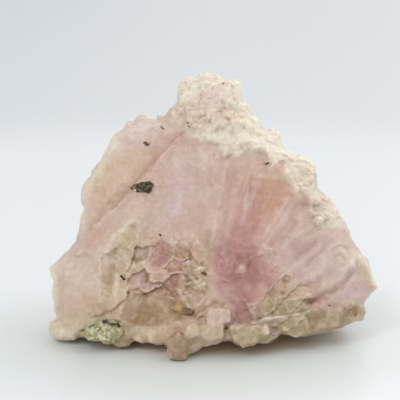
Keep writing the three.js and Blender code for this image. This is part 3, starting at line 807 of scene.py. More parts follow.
    line(OLIVE, 0.5, 0.5, (-20.4, 11.6), (-16.4, 10.4), (-12, 11.2)),
    spot(OLIVE, 0.65, -19.2, 15.2, 2.2, 1.4),
    spot(TAN, 0.3, -15.4, 11, 4, 1.8, -4, rise=-0.15),
    spot(ROSE, 0.4, -13.6, 14.8, 2.6, 1, -10),
    spot(TAN, 0.35, -22, 10.4, 1.6, 1.4),
    area(SAND, 0.9, 0.8, (-20.4, 8.6), (-17, 8), (-11.6, 8.6), (-10.8, 5), (-13.6, 4.2), (-20.4, 4.6)),
    line(CREAM, 0.4, 0.3, (-19.4, 6.8), (-16.6, 6.4), (-13.2, 6.6), rise=0.12),
    line(SAND, 0.8, 0.4, (-20.6, 7.8), (-18.6, 6.4), (-16.8, 5.3), (-14.4, 5.6), rise=0.15),
    line(CREAM, 0.4, 0.3, (-19, 5.2), (-16, 4.8), (-13.6, 4.8), (-12.2, 4.2), rise=0.1),
    area(TAN, 0.85, 0.4, (-11.6, 4.8), (-9.8, 7.4), (-8.2, 7.6), (-6.6, 5), (-6.4, -0.8), (-11.8, -0.8)),
    spot(MAUVE, 0.4, -9.2, 3.4, 2.2, 4.4),
    spot(UMBER, 0.18, -9, 3, 2.4, 4.6),
    line(SAND, 0.6, 0.25, (-11.5, 4.6), (-11.4, 2.2), (-10.8, 0.6)),
    spot(SAND, 0.8, -8.6, 9.2, 1.5, 1.2, rise=0.2),
    line(CREAM, 0.5, 0.25, (-10, 11.2), (-9, 10.4), (-8.4, 9), rise=0.1),
    # The crack that runs down to the left, and the ledge over the green patch.
    Mark(Drop(0.25, 2.6, ((-14.8, 17.7), (-16.9, 16.6), (-19, 17.8), (-21.5, 17), (-22, 15.2),
        (-24.2, 13.9), (-26, 12.1), (-29, 11.2))), rise=-0.5),
    line(TAN, 0.7, 0.5, (-29.4, 11.2), (-26, 12.1), (-24.4, 13.2), (-23.6, 14.4), (-22, 15.1),
        (-21.5, 16.8), rise=-0.2),
    line(TAN, 0.9, 0.35, (-21.7, 15.8), (-21, 17.5), (-18.8, 17.8), (-17.2, 16.6), (-16, 17.1),
        (-14.6, 17.9), rise=-0.3),
    spot(UMBER, 0.8, -17.3, 16.7, 0.6, 0.3, -30, rise=-0.2),
    line(CREAM, 0.4, 0.25, (-25, 11.6), (-23, 12.8), (-21.8, 14), (-20.8, 14.4), rise=0.1),
    line(SAND, 0.6, 0.7, (-33, 9.2), (-29.4, 10.2), (-25, 11), (-23, 10.6), rise=-0.2),
    # Painted shade under the ledge over the green patch.
    line(UMBER, 0.5, 0.3, (-28, 9.4), (-26.8, 9.9), (-25.4, 9.9), (-23.4, 9.2), rise=-0.3),
    area(TAN, 1, 0.6, (-28, 5), (-20.2, 5.6), (-19.8, 2.6), (-25, 1.6)),
    spot(UMBER, 0.14, -23.6, 3.8, 3.6, 1.6),
    spot(OLIVE, 0.5, -24, 4, 2.2, 1),
    area(OLIVE, 0.7, 0.7, (-34.4, 8.2), (-31, 9.6), (-27.6, 10.6), (-23, 10), (-21.8, 7.6), (-22, 5.4),
        (-27, 4), (-34, 5.6)),
    spot(SAND, 0.6, -22, 6.8, 0.9, 1.4),
    spot(TAN, 0.4, -22.4, 9, 3.4, 1.2),
    spot(TAN, 0.35, -23.4, 16.2, 1.2, 1.8),
    area(TAN, 0.7, 0.9, (-12.2, 13), (-9.4, 15.2), (-4.4, 12.8), (-4.2, 11.4), (-8, 9.8), (-11, 11.2)),
    # Left slabs.
    area(SAND, 0.45, 3, (-40, 8), (-40, 22), (-30, 32), (-22, 32), (-22, 12)),
    area(TAN, 0.52, 0.4, (-28.4, 25.4), (-24.4, 25.6), (-24.6, 17.4), (-26.4, 15.6), (-28.2, 16.4),
        rise=-0.25),
    area(PEACH, 0.6, 2, (-33, 16.6), (-26, 16.6), (-26, 11.8), (-32, 11.4)),
    spot(TAN, 0.35, -28.8, 14.6, 3, 2.6),
    line(CREAM, 0.4, 0.5, (-24.4, 24.6), (-24.5, 20), (-25, 15.4), rise=0.12),
    Mark(Patch(0.3, ((-40, 20.3), (-28.6, 20.7), (-28.8, 14), (-40, 12))), rise=0.25),
    line(CLOUD, 0.3, 0.5, (-28.7, 25.4), (-28.5, 19.6), (-28.7, 14.4), rise=0.1),
    area(SAND, 0.7, 1.6, (-24, 26), (-21.4, 27), (-21.4, 19), (-22.4, 15.8), (-24.2, 15)),
    spot(OLIVE, 0.4, -22.8, 22.6, 1, 3.4),
    area(SAND, 0.75, 1.5, (-27.4, 26), (-26, 30.4), (-22, 33.4), (-19, 31), (-20.6, 27), (-23.6, 25.6)),
    line(CREAM, 0.45, 0.6, (-27.2, 26.4), (-26.2, 29.4), (-23.4, 32), (-20.8, 34.8), (-19.2, 34.4),
        rise=0.12),
    spot(TAN, 0.5, -20.3, 33.2, 0.9, 1.2, -20, rise=-0.25),
    spot(TAN, 0.3, -22, 27.5, 1, 0.9, rise=-0.15),
    spot(CLOUD, 0.7, -26.8, 26.2, 3, 2.8),
    spot(CLOUD, 0.45, -32, 24, 3.6, 1.6, 55),
    spot(CLOUD, 0.8, -36.2, 23.4, 4.2, 2.2, 45),
    line(CLOUD, 0.4, 0.8, (-40.4, 22.6), (-36.8, 26.4), (-33.6, 29)),
    spot(SAND, 0.8, -40.2, 20.6, 0.9, 1.4, 20, rise=0.1),
    line(CREAM, 0.85, 1.5, (-41, 23), (-40.8, 17), (-40.6, 8), rise=-0.1),
    spot(LILAC, 0.3, -34.4, 17.2, 2.2, 3.6, -10),
    spot(CLOUD, 0.4, -31.4, 20.8, 2, 3.4, -50, patches=2.4),
    spot(ROSE, 0.4, -29.6, 29.4, 3.4, 2.2, 45),
    spot(SAND, 0.5, -34, 12, 5, 2.4),
    area(OLIVE, 0.22, 2, (-36, 9), (-30, 12.4), (-26, 12), (-22, 14.6), (-23, 5), (-36, 5)),
    area(SAND, 0.9, 1.2, (-41, 9.8), (-37, 10.4), (-33.5, 10), (-33.8, 6), (-36, 4.4), (-41.4, 4.6)),
    spot(CREAM, 0.75, -37.8, 7, 3.6, 1.8),
    spot(OLIVE, 0.3, -36.4, 8.6, 2.6, 0.8),
    # Pits in the middle left: their floors are pink or mauve; the brown and wine lines on their upper edges
    # are painted shade under the rims.
    area(SAND, 0.5, 1.5, (-21.4, 29.6), (-15.4, 30.4), (-14, 23), (-17, 22.4), (-21.6, 21)),
    area(MAUVE, 0.7, 0.25, (-20, 28), (-19.2, 28.4), (-18, 28.1), (-16.4, 28.6), (-16.4, 27.5),
        (-16.8, 25.2), (-18.2, 24.9), (-19.2, 24), (-20.8, 24.1), (-20.2, 25.4), (-19.9, 26.6), rise=-0.15),
    Mark(Drop(0.2, 3.4, ((-16.2, 28.6), (-18, 28.1), (-19.2, 28.4), (-20, 28), (-20.2, 25.4),
        (-20.8, 24.1))), rise=-0.7),
    spot(OLIVE, 0.5, -18.6, 26.4, 1.5, 1.8, rise=-0.2),
    spot(WINE, 0.25, -17.8, 26, 0.9, 1.4),
    spot(TAN, 0.4, -19.8, 25, 0.9, 1.2, rise=-0.1),
    spot(LILAC, 0.4, -18, 27.2, 1, 0.8),
    line(UMBER, 0.8, 0.2, (-20, 27.7), (-19.3, 28.35), (-18.2, 28.15), rise=-0.2),
    line(TAN, 0.7, 0.2, (-20.6, 24.5), (-20, 25.6), (-19.9, 27.2), rise=-0.1),
    line(TAN, 0.5, 0.2, (-16.3, 28.3), (-16.6, 26.4), (-16.9, 25.2)),
    line(CREAM, 0.35, 0.4, (-21.4, 21.4), (-20.4, 23.2), (-18.4, 23.9), (-16.4, 24.8), (-15.8, 27),
        rise=0.1),
    area(MAUVE, 0.75, 0.25, (-21.4, 20), (-20.4, 21.6), (-18.6, 22), (-17.3, 22.9), (-17, 22),
        (-16.2, 21.6), (-16.3, 20), (-15.8, 19.5), (-13.2, 19.2), (-14, 18.2), (-16, 17.6), (-18, 18),
        (-20, 18.2), (-21, 19), rise=-0.15),
    Mark(Drop(0.2, 3, ((-13.2, 19.2), (-15.8, 19.5), (-16.3, 20), (-17.3, 22.9), (-18.6, 22), (-20.4, 21.6),
        (-21.4, 20))), rise=-0.6),
    spot(WINE, 0.22, -18.4, 20.6, 1.8, 1.2, rise=-0.2),
    line(TAN, 0.8, 0.22, (-21.3, 20.4), (-20.3, 21.6), (-18.6, 22), (-17.3, 22.8), rise=-0.2),
    spot(WINE, 0.5, -16.7, 21, 0.5, 0.9, 10, rise=-0.2),
    spot(LILAC, 0.6, -19.2, 20.2, 1.2, 0.9, rise=0.1),
    spot(LILAC, 0.6, -17.4, 18.8, 1.6, 0.6),
    line(WINE, 0.5, 0.2, (-15.8, 19), (-14.6, 19.3), (-13, 19.2), rise=-0.15),
    area(ROSE, 0.85, 1.3, (-15.6, 29.4), (-12, 29.6), (-10.2, 28), (-10.8, 25), (-12.4, 23), (-15.2, 23.4),
        (-15.8, 26), rise=-0.4),
    spot(WINE, 0.5, -13, 25.8, 1.9, 2.4),
    spot(TAN, 0.5, -11.2, 26.4, 0.8, 1.8),
    area(WINE, 0.75, 0.25, (-16, 17.2), (-13, 18.6), (-11.4, 20.8), (-10.8, 21.6), (-8.6, 21.4), (-8.8, 18),
        (-9, 16), (-10.6, 15.6), (-13, 16.2), rise=-0.2),
    Mark(Drop(0.2, 4, ((-8.6, 21.4), (-10.8, 21.6), (-11.4, 20.8), (-13, 18.6), (-16, 17.2))), rise=-0.7),
    spot(TAN, 0.4, -11.6, 17.4, 3.4, 2.2, rise=-0.2),
    spot(SALMON, 0.5, -13.6, 17, 2.4, 1, 10),
    spot(WINE, 0.45, -10.2, 17.6, 3.4, 3),
    spot(TAN, 0.55, -10.2, 17, 3.4, 2.8),
    spot(WINE, 0.5, -10.2, 16.8, 1.2, 1.4, rise=-0.1),
    area(ROSE, 0.85, 0.15, (-12.1, 23), (-11.5, 22), (-8.2, 21.8), (-8, 24.4), (-10, 25.2), (-11.4, 24.2),
        rise=-0.4),
    spot(TAN, 0.45, -9.8, 22.8, 1.8, 1.1),
    line(WINE, 0.85, 0.2, (-12.2, 22.8), (-11.4, 21.9), (-10.2, 21.6), (-8.2, 21.8), rise=-0.25),
    area(PEACH, 0.5, 0.3, (-16.1, 19.6), (-15.8, 22), (-13, 22.6), (-11.9, 22), (-11.2, 20.8),
        (-12.2, 19.5), rise=0.2),
    spot(ROSE, 0.45, -14, 20.8, 2.2, 1.2),
    spot(PEACH, 0.6, -14.4, 22.8, 1.8, 0.7, -10),
    area(TAN, 0.62, 0.15, (-10, 28.8), (-8.4, 29.4), (-6.4, 28.2), (-5.6, 25.6), (-7, 25.2), (-9.8, 25.8),
        rise=-0.3),
    spot(SAND, 0.5, -7.6, 28.6, 1.4, 0.7),
    spot(TAN, 0.45, -6.2, 26.4, 1.5, 1.2),
    spot(SALMON, 0.7, -8.8, 25.8, 1.4, 0.6, 10),
    line(CREAM, 0.5, 0.22, (-12.2, 23.6), (-10.8, 25), (-10, 26.4), (-9.8, 28.6), (-8.8, 30.4), rise=0.15),
    area(UMBER, 0.95, 0.1, (-8.2, 24.5), (-7.2, 24.5), (-5.6, 25.2), (-6.2, 25.5), (-7, 25), rise=-0.3),
    area(WINE, 0.85, 0.1, (-6.3, 28.4), (-5.9, 28), (-5.2, 25.4), (-5.9, 25.5), rise=-0.2),
    line(CREAM, 0.6, 0.22, (-6.6, 26.8), (-6.3, 28.8), (-5.2, 31.2), rise=0.12),
    area(PEACH, 0.6, 0.5, (-5.6, 26), (-4.8, 30.6), (-3.6, 29.8), (-2, 24.6), (-4, 24.6), rise=0.1),
    line(CREAM, 0.5, 0.25, (-4.4, 30.4), (-3.2, 27.4), (-2.2, 25), rise=0.1),
    line(TAN, 0.8, 0.25, (-4.4, 25), (-3.6, 24.4), (-2.6, 24.2), rise=-0.25),
    area(TAN, 0.35, 0.8, *GRAINY),
    spot(TAN, 0.35, -6.2, 20.6, 1.4, 2.6, 10, rise=-0.1),
    area(CREAM, 0.3, 0.8, *GRAINY, patches=1.1),
    area(TAN, 0.5, 0.8, *GRAINY, patches=0.8),
    spot(CREAM, 0.8, -3.4, 23, 0.8, 0.6, rise=0.2),
    spot(TAN, 0.5, -8.9, 18.8, 0.8, 1.8),
    spot(WINE, 0.35, -9, 18.8, 0.9, 1.8),
    spot(CREAM, 0.4, -3, 19.2, 1.4, 1, rise=0.1),
    area(UMBER, 0.95, 0.12, (-3.2, 21.3), (-2.6, 22.2), (-1.9, 21.9), (-2, 21.3), rise=-0.4),
    spot(UMBER, 0.45, -6.4, 19.8, 0.8, 0.35, 30, rise=-0.25),
    spot(UMBER, 0.5, -7.4, 17.8, 0.9, 0.5, -20, rise=-0.25),
    spot(TAN, 0.9, -4.4, 20.4, 0.9, 0.3, 20, rise=-0.2),
    spot(TAN, 0.9, -2.2, 18.2, 0.8, 0.35, rise=-0.2),
    spot(TAN, 0.8, -5, 22.2, 0.7, 0.3, -20, rise=-0.2),
    spot(TAN, 0.8, -5.6, 18.4, 0.6, 0.3, 40, rise=-0.2),
    spot(TAN, 0.6, -3.6, 16.9, 1.2, 0.3, 10, rise=-0.15),
    spot(MAUVE, 0.75, -4.2, 15.3, 1.2, 1, rise=-0.2),
    line(CREAM, 0.55, 0.22, (-6, 15.8), (-5, 17), (-3.2, 17), (-2.2, 15.6), (-2.8, 14), (-5.2, 13.7),
        (-6, 15.8), rise=0.12),
    line(CREAM, 0.5, 0.22, (-8.8, 17.6), (-7.9, 15.6), (-6.8, 13.9), rise=0.1),
    area(SAND, 0.4, 0.8, (-1.4, 23), (-0.4, 26.4), (0.4, 18), (-0.6, 14.6), (-1.4, 17)),
    # The crest and the crust.
    area(CREAM, 0.85, 1.6, *CRUST.corners, rise=0.35),
    area(CREAM, 0.8, 0.9, *CRUST.corners, rise=0.35, patches=2.6),
    spot(CLOUD, 0.8, -0.6, 65.6, 4.8, 3.4, 20),
    spot(PEACH, 0.3, -4, 61.2, 3, 2.6, 30),
    spot(PEACH, 0.4, -4.8, 63.2, 2.6, 3.4, 30),
    area(CREAM, 0.8, 0.4, (-9.6, 65), (-9.6, 68.8), (-7.2, 71.6), (-4.2, 71), (-4.8, 67.4), (-6.6, 64.8)),
    spot(OLIVE, 0.35, -8.4, 67.4, 0.5, 1.8),
    # Painted glint on the glassy lump of the crest.
    area(CREAM, 1, 0.1, (-6.5, 66.3), (-6, 67.6), (-5.6, 67.4), (-6.1, 66.2), rise=0.2),
    spot(SALMON, 0.45, -8, 61.6, 2.2, 3.2, 30),
    spot(SAND, 0.5, -6, 59.4, 2.4, 1.8),
    spot(OLIVE, 0.28, -2.8, 58.8, 3, 1.8, -8),
    spot(PEACH, 0.5, 3.6, 61.2, 4.4, 2.2, 20),
    spot(TAN, 0.35, 3.6, 59.8, 0.8, 1, 20, rise=-0.2),
    spot(TAN, 0.35, 1.4, 62.2, 0.6, 0.4, rise=-0.2),
    line(CREAM, 0.6, 0.7, (-4.4, 57.2), (0, 56.8), (5, 56.2), (10, 54.8), rise=0.15),
    spot(CREAM, 0.5, 11.6, 51.6, 2.4, 1.5),
    spot(SAND, 0.5, 25, 43, 4.6, 7.4, 30),
    spot(CLOUD, 0.5, 27.6, 37.6, 3, 4.4, 30),
    spot(OLIVE, 0.3, 27, 37, 2.6, 4.4, 30),
)

LOWER_RIM = Patch(2, ((-24, 2), (-24, 12), (-8, 14), (0, 15), (10, 13), (24, 19), (38, 12), (36, 8), (8, 0)))
PITTED = Patch(2, ((-22, 17), (-28, 26), (-24, 33), (-8, 31), (-2, 30), (-1, 14), (-8, 14)))
GRANULAR = Patch(1, ((-8.6, 24), (-4.2, 24.8), (-1.4, 22.6), (-0.8, 16), (-3.2, 12.6), (-7, 13), (-8.4, 17)))
SHELVES = Patch(1, ((11, 9.6), (12.4, 15.6), (14.6, 19), (17, 21.4), (19.6, 21.4), (23.6, 18.6),
    (24.6, 13.4), (24, 8.4), (20.6, 5.4), (14, 6)))

FACE_RUBBLE: tuple[Rubble, ...] = (
    Rubble(CRUST, KNOBS, 2.6, 0.42, 3),
    Rubble(CRUST, KNOBS, 1.2, 0.26, 4),
    Rubble(CRUST, FACETS, 0.9, 0.12, 44),
    Rubble(GRANULAR, FACETS, 1, 0.4, 5),
    Rubble(SHELVES, PLATES, 3.1, 0.26, 6, 25),
    Rubble(SHELVES, FACETS, 1.6, 0.08, 27),
    Rubble(LOWER_RIM, FACETS, 3.4, 0.34, 7),
    Rubble(LOWER_RIM, FACETS, 1.3, 0.09, 8),
    Rubble(PITTED, FACETS, 2.2, 0.3, 9),
    Rubble(PITTED, PLATES, 1.7, 0.1, 10, -40),
    Rubble(Patch(3, ((-34, 30), (-27, 55), (-12, 61), (-9, 56), (-20, 44))), FACETS, 5, 0.3, 11),
    Rubble(Patch(2, ((-28, 52), (-20, 62), (-9, 62), (-12, 55))), KNOBS, 3.4, 0.35, 13),
    Rubble(Patch(3, ((16, 26), (20, 38), (34, 36), (38, 22), (30, 17), (20, 20))), STREAKS, 4, 0.3,
        15),
    Rubble(Patch(3, ((-2, 31), (-3, 50), (12, 50), (20, 40), (12, 32))), STREAKS, 1.8, 0.32, 17),
    Rubble(Patch(2.4, HEART), FACETS, 3, 0.45, 19),
    Rubble(Patch(2, HEART), FACETS, 1.5, 0.25, 29),
    Rubble(Patch(3, ((-40, 6), (-38, 24), (-24, 36), (-23, 12))), FACETS, 5, 0.3, 21),
    Rubble(Patch(4, ((-22, 34), (-10, 52), (0, 52), (-2, 32))), FACETS, 5, 0.2, 23),
    Rubble(Patch(9, ((-60, -20), (-60, 90), (60, 90), (60, -20))), FACETS, 1.9, 0.08, 25),
)


# ---- Meshes ----


@dataclass
class Skin:
    """A closed mesh held as arrays, in millimetres, while it is shaped."""

    points: Array
    faces: Array

    @classmethod
    def of_mesh(cls, mesh: Mesh, scale: float = 1.0 / MM) -> "Skin":
        """The skin of a Blender mesh, cut into triangles.

        Args:
            mesh: The mesh.
            scale: How many millimetres the mesh's unit is.

        Returns:
            The skin.
        """
        points = np.zeros(len(mesh.vertices) * 3)
        mesh.vertices.foreach_get("co", points)
        mesh.calc_loop_triangles()
        corners = np.zeros(len(mesh.loop_triangles) * 3, np.int64)
        mesh.loop_triangles.foreach_get("vertices", corners)
        return cls(points.reshape(-1, 3) * scale, corners.reshape(-1, 3))

    def joined(self, other: "Skin") -> "Skin":
        """Both skins in one mesh."""
        faces = np.concatenate([self.faces, other.faces + len(self.points)])
        return Skin(np.concatenate([self.points, other.points]), faces)

    def to_mesh(self, name: str, scale: float = MM, weights: dict[str, Array] | None = None) -> Mesh:
        """A Blender mesh of this skin.

        Args:
            name: The mesh's name.
            scale: The mesh's unit for one millimetre.
            weights: Numbers that each vertex carries, by name.

        Returns:
            The mesh.
        """
        mesh = bpy.data.meshes.new(name)
        mesh.vertices.add(len(self.points))
        mesh.vertices.foreach_set("co", (self.points * scale).ravel())
        count = len(self.faces)
        mesh.loops.add(count * 3)
        mesh.loops.foreach_set("vertex_index", np.asarray(self.faces, np.int32).ravel())
        mesh.polygons.add(count)
        mesh.polygons.foreach_set("loop_start", np.arange(0, count * 3, 3, dtype=np.int32))
        mesh.update(calc_edges=True)
        for key, values in (weights or {}).items():
            layer = mesh.attributes.new(key, "FLOAT", "POINT")
            layer.data.foreach_set("value", values.astype(np.float32))
        return mesh

    def recast(self, voxel: float) -> "Skin":
        """One even skin round everything that this one encloses.

        Args:
            voxel: Width of the cells that it is recast in.

        Returns:
            The new skin.
        """
        thing = placed("work", self.to_mesh("work", 1.0))
        tool = thing.modifiers.new("recast", "REMESH")
        tool.mode = "VOXEL"
        tool.voxel_size = voxel
        tool.adaptivity = 0.0
        result = thing.evaluated_get(bpy.context.evaluated_depsgraph_get())
        skin = Skin.of_mesh(result.to_mesh(), 1.0)
        result.to_mesh_clear()
        used = thing.data
        bpy.data.objects.remove(thing)
        bpy.data.meshes.remove(used)
        return skin

    def front(self) -> Array:
        """The u, v and w of the vertices that face the viewer."""
        ahead = self.normals() @ DRAWING.outwards > 0.4
        return DRAWING.read(self.points[ahead])

    def edges(self) -> Array:
        """Each edge once, as two vertex numbers."""
        pairs = np.concatenate([self.faces[:, sides] for sides in ([0, 1], [1, 2], [2, 0])])
        return np.unique(np.sort(pairs, axis=1), axis=0)

    def normals(self) -> Array:
        """The direction out of the skin.

        Returns:
            A unit vector for each vertex.
        """
        a, b, c = (self.points[self.faces[:, k]] for k in range(3))
        across = np.cross(b - a, c - a)
        total = np.zeros_like(self.points)
        for corner, axis in np.ndindex(3, 3):
            total[:, axis] += np.bincount(self.faces[:, corner], across[:, axis], len(total))
        return total / np.maximum(np.linalg.norm(total, axis=1, keepdims=True), TINY**2)

    def spread(self, values: Array, rounds: int) -> Array:
        """Values at the vertices after each has been mixed half and half with its neighbours' some times.

        Args:
            values: One value or one row of values for each vertex.
            rounds: Number of times.

        Returns:
            The mixed values.
        """
        a, b = self.edges().T
        size = len(self.points)
        count = np.maximum(np.bincount(a, minlength=size) + np.bincount(b, minlength=size), 1)
        columns = values.reshape(size, -1).copy()
        for _ in range(rounds):
            for k in range(columns.shape[1]):
                column = columns[:, k]
                total = np.bincount(a, column[b], size) + np.bincount(b, column[a], size)
                columns[:, k] = 0.5 * column + 0.5 * total / count
        return columns.reshape(values.shape)


Weighted = tuple[Skin, dict[str, Array]]


@dataclass
class CrystalHeap:
    """Many small closed crystals, laid down one by one and kept as one skin."""

    seed: int
    point_lean: float = 0.3
    knob_lean: float = 0.2
    points: list[Array] = field(default_factory=list)
    faces: list[Array] = field(default_factory=list)

    def __post_init__(self) -> None:
        """Starts the repeatable random numbers."""
        self.random = np.random.default_rng(self.seed)
        self.count = 0

    def _add(self, points: Array, faces: Array, at: Array, axis: Array, lean: float) -> None:
        """Keeps one crystal that was built about +Z, and gives it a random spin.

        Args:
            points: Its corners.
            faces: Its triangles.
            at: Where it stands.
            axis: The way it grows.
            lean: How far it may lean off its axis.
        """
        up = axis + self.random.normal(0.0, lean, 3)
        up /= np.linalg.norm(up)
        side = np.cross(up, self.random.normal(0.0, 1.0, 3))
        side /= np.linalg.norm(side)
        self.points.append(points @ np.stack([side, np.cross(up, side), up]) + at)
        self.faces.append(faces + self.count)
        self.count += len(points)

    def point(self, at: Array, axis: Array, radius: float, length: float) -> None:
        """Adds a six-sided crystal with a point, rooted at a place.

        Args:
            at: Its root.
            axis: The way it grows.
            radius: Its width from axis to corner.
            length: Its length from root to tip.
        """
        turn = np.arange(6) * math.pi / 3.0
        wide = radius * self.random.uniform(0.75, 1.15, 6)
        ring = np.stack([np.cos(turn) * wide, np.sin(turn) * wide], axis=1)
        shoulder = length - radius * self.random.uniform(0.8, 1.3)
        low = np.column_stack([ring, np.full(6, -radius)])
        high = np.column_stack([ring * 0.95, shoulder + self.random.uniform(-0.15, 0.15, 6) * radius])
        tip = np.array([[*(self.random.uniform(-0.25, 0.25, 2) * radius), length]])
        base = np.array([[0.0, 0.0, -1.6 * radius]])
        points = np.concatenate([low, high, tip, base])
        faces = []
        for k in range(6):
            n = (k + 1) % 6
            faces += [(k, n, 6 + n), (k, 6 + n, 6 + k), (6 + k, 6 + n, 12), (n, k, 13)]
        self._add(points, np.array(faces), at, axis, self.point_lean)

    def knob(self, at: Array, axis: Array, radius: float, flatness: float = 0.8) -> None:
        """Adds an irregular rounded knob.

        Args:
            at: Its middle.
            axis: The way that it is flattened along.
            radius: Its mean radius.
            flatness: Its height as a share of its width.
        """
        g = (1.0 + math.sqrt(5.0)) / 2.0
        points = [(-1, g, 0), (1, g, 0), (-1, -g, 0), (1, -g, 0), (0, -1, g), (0, 1, g), (0, -1, -g),
            (0, 1, -g), (g, 0, -1), (g, 0, 1), (-g, 0, -1), (-g, 0, 1)]
        points = np.array(points) / math.hypot(1.0, g) * radius
        points *= self.random.uniform(0.72, 1.22, (12, 1))
        points[:, 2] *= flatness
        faces = [(0, 11, 5), (0, 5, 1), (0, 1, 7), (0, 7, 10), (0, 10, 11), (1, 5, 9), (5, 11, 4),
            (11, 10, 2), (10, 7, 6), (7, 1, 8), (3, 9, 4), (3, 4, 2), (3, 2, 6), (3, 6, 8), (3, 8, 9),
            (4, 9, 5), (2, 4, 11), (6, 2, 10), (8, 6, 7), (9, 8, 1)]
        self._add(points, np.array(faces), at, axis, self.knob_lean)

    def skin(self) -> Skin:
        """All the crystals in one skin."""
        return Skin(np.concatenate(self.points), np.concatenate(self.faces))


@dataclass(frozen=True)
class Block:
    """A lump with flat sides: a polygon on the drawing, which stands out of the stone round it."""

    rise: float
    depth: float
    corners: tuple[Point, ...]
    lean: Point = (0.0, 0.0)
    bevel: float = 0.45

    def skin(self, front: Array) -> Skin:
        """The block's closed skin.

        Args:
            front: The u, v and w of points on the stone's front, which it is set on.

        Returns:
            The skin, in the CAD frame.
        """
        ring = np.array(self.corners)
        middle = ring.mean(axis=0)
        twice_area = np.sum(ring[:, 0] * np.roll(ring[:, 1], -1) - ring[:, 1] * np.roll(ring[:, 0], -1))
        if twice_area < 0.0:
            ring = ring[::-1]
        away = np.hypot(*(front[:, :2] - middle).T)
        level = float(np.median(front[np.argsort(away)[:60], 2]))
        top = level + self.rise
        reach = np.hypot(*(ring - middle).T)[:, None]
        inner = middle + (ring - middle) * (1.0 - self.bevel / reach)
        rows = [(inner, top), (ring, top - self.bevel), (ring, level - self.depth)]
        layers = [
            np.column_stack([flat, out + (flat - middle) @ np.array(self.lean)]) for flat, out in rows
        ]
        ends = np.array([[*middle, top], [*middle, level - self.depth]])
        n = len(ring)
        faces = []
        for k in range(n):
            m = (k + 1) % n
            faces += [(k, m, 3 * n), (2 * n + m, 2 * n + k, 3 * n + 1)]
            for low, high in ((n, 0), (2 * n, n)):
                faces += [(low + k, low + m, high + m), (low + k, high + m, high + k)]
        return Skin(DRAWING.place(*np.concatenate([*layers, ends]).T), np.array(faces))


BLOCKS: tuple[Block, ...] = (
    # The foot and the scalloped rim to its left.
    Block(0.3, 7, ((-11.5, 5), (-11.4, 0.4), (-8.8, -0.3), (-6.8, 0.2), (-6.8, 4.6), (-8.8, 7)), (0.1, 0.15),
        0.6),
    Block(0.4, 5, ((-20.2, 7.6), (-20, 5), (-18, 4), (-16.4, 5.4), (-17.2, 7.8))),
    Block(0.5, 5, ((-16.8, 6.8), (-16.2, 4.5), (-13.8, 4), (-12.2, 4.4), (-12, 6.8), (-14.2, 7.6))),
    Block(-0.2, 5, ((-26.8, 5.2), (-24, 3.1), (-21.4, 3.3), (-19.8, 5.4), (-21, 7.6), (-25.4, 7.4))),
    # The left end.
    Block(0.3, 5, ((-41.1, 9.4), (-40.9, 6.4), (-38.8, 5), (-34.6, 4.9), (-33.6, 8.6), (-36.6, 10.4)),
        (0.35, 0.2), 1.1),
    Block(-0.7, 4.5, ((-40, 20), (-40.4, 17), (-40, 13), (-39.2, 10.2), (-37.6, 11), (-37.2, 19.4)),
        (0.25, 0), 0.8),
    Block(-0.4, 4.5, ((-40, 23.2), (-40.2, 21.4), (-39.2, 20.2), (-36.4, 21), (-36.6, 25), (-38.4, 24.6)),
        (0.15, 0), 0.9),
    Block(0.2, 4, ((-28.8, 13.2), (-28.2, 19.4), (-24.6, 18.6), (-25.8, 14.4)), (0.04, 0), 0.6),
    # Blocks along the middle of the lower edge.
    Block(0.8, 3, LEFT_CHIP),
    Block(0.6, 3, SQUARE_CHIP, (0, 0.1)),
    Block(0.7, 3, UPPER_CHIP, (-0.05, 0.1)),
    Block(0.2, 4, ((-7, 5.4), (-5, 1.9), (-3.6, 3.4), (0.6, 3.9), (2.6, 5), (-0.4, 6))),
    Block(0.5, 4, ((3.6, 8.4), (7, 8.7), (11.6, 8.9), (12.2, 6.4), (10.4, 4.1), (7, 3.4), (4.8, 4.8)),
        (0, -0.06)),
    Block(0.9, 2, ((12, 6.6), (12.3, 8.2), (13, 8.8), (13.7, 8), (13.7, 6.6), (12.9, 6))),
    Block(0.2, 4, ((11.6, 6.8), (14, 7.6), (16.8, 7.4), (15.6, 5.6), (13.4, 4.2), (11.2, 4.2))),
    # Plates at the lower right.
    Block(0.6, 3, ((14.7, 10), (18.8, 10.2), (23, 11.2), (24, 8.6), (22.6, 6.4), (20.4, 5.5), (17, 7)),
        (0, -0.08)),
    Block(0.2, 2, ((11.2, 12.6), (13.6, 14.6), (18, 14.2), (22.9, 14.9), (24, 13), (19.4, 11.6), (15.2, 11),
        (12.4, 10.8)), (0, -0.12)),
    Block(0.45, 2, ((18.2, 15.2), (20.2, 18.4), (22.4, 18.8), (24.8, 15.9), (22.9, 15.1), (20, 14.9)),
        (0, -0.1)),
    Block(0.25, 2, ((12.8, 15.2), (13.8, 18.4), (16.4, 19.8), (19.4, 18.6), (19.4, 15.6)), (0.04, -0.08)),
    Block(0.3, 4, ((23.4, 12), (28, 12.8), (31.6, 11.8), (31, 8.4), (26.4, 7.6), (23.8, 8.6)), (0, -0.1)),
    Block(0.5, 5, ((35.2, 14), (37.2, 13.4), (38.1, 12.2), (37.2, 9.8), (35, 9.8), (34.4, 12)), (-0.3, 0),
        0.8),
    Block(0, 4, ((36.6, 21.4), (39.4, 20.6), (41.1, 18.3), (39.2, 16.6), (36.4, 17.2)), (-0.4, 0), 0.7),
    Block(-0.5, 4, ((34.4, 27.8), (36.8, 25.9), (39, 22.9), (39.8, 20.6), (37, 20.4), (34.6, 23.8))),
    # The glassy lump on the crest.
    Block(0.4, 4, ((-8.9, 65.2), (-9, 68.8), (-7.4, 70.9), (-4.8, 70.3), (-4.6, 67.4), (-6.6, 64.8))),
)


# ---- Shaders ----


Term = Union["Value", float]


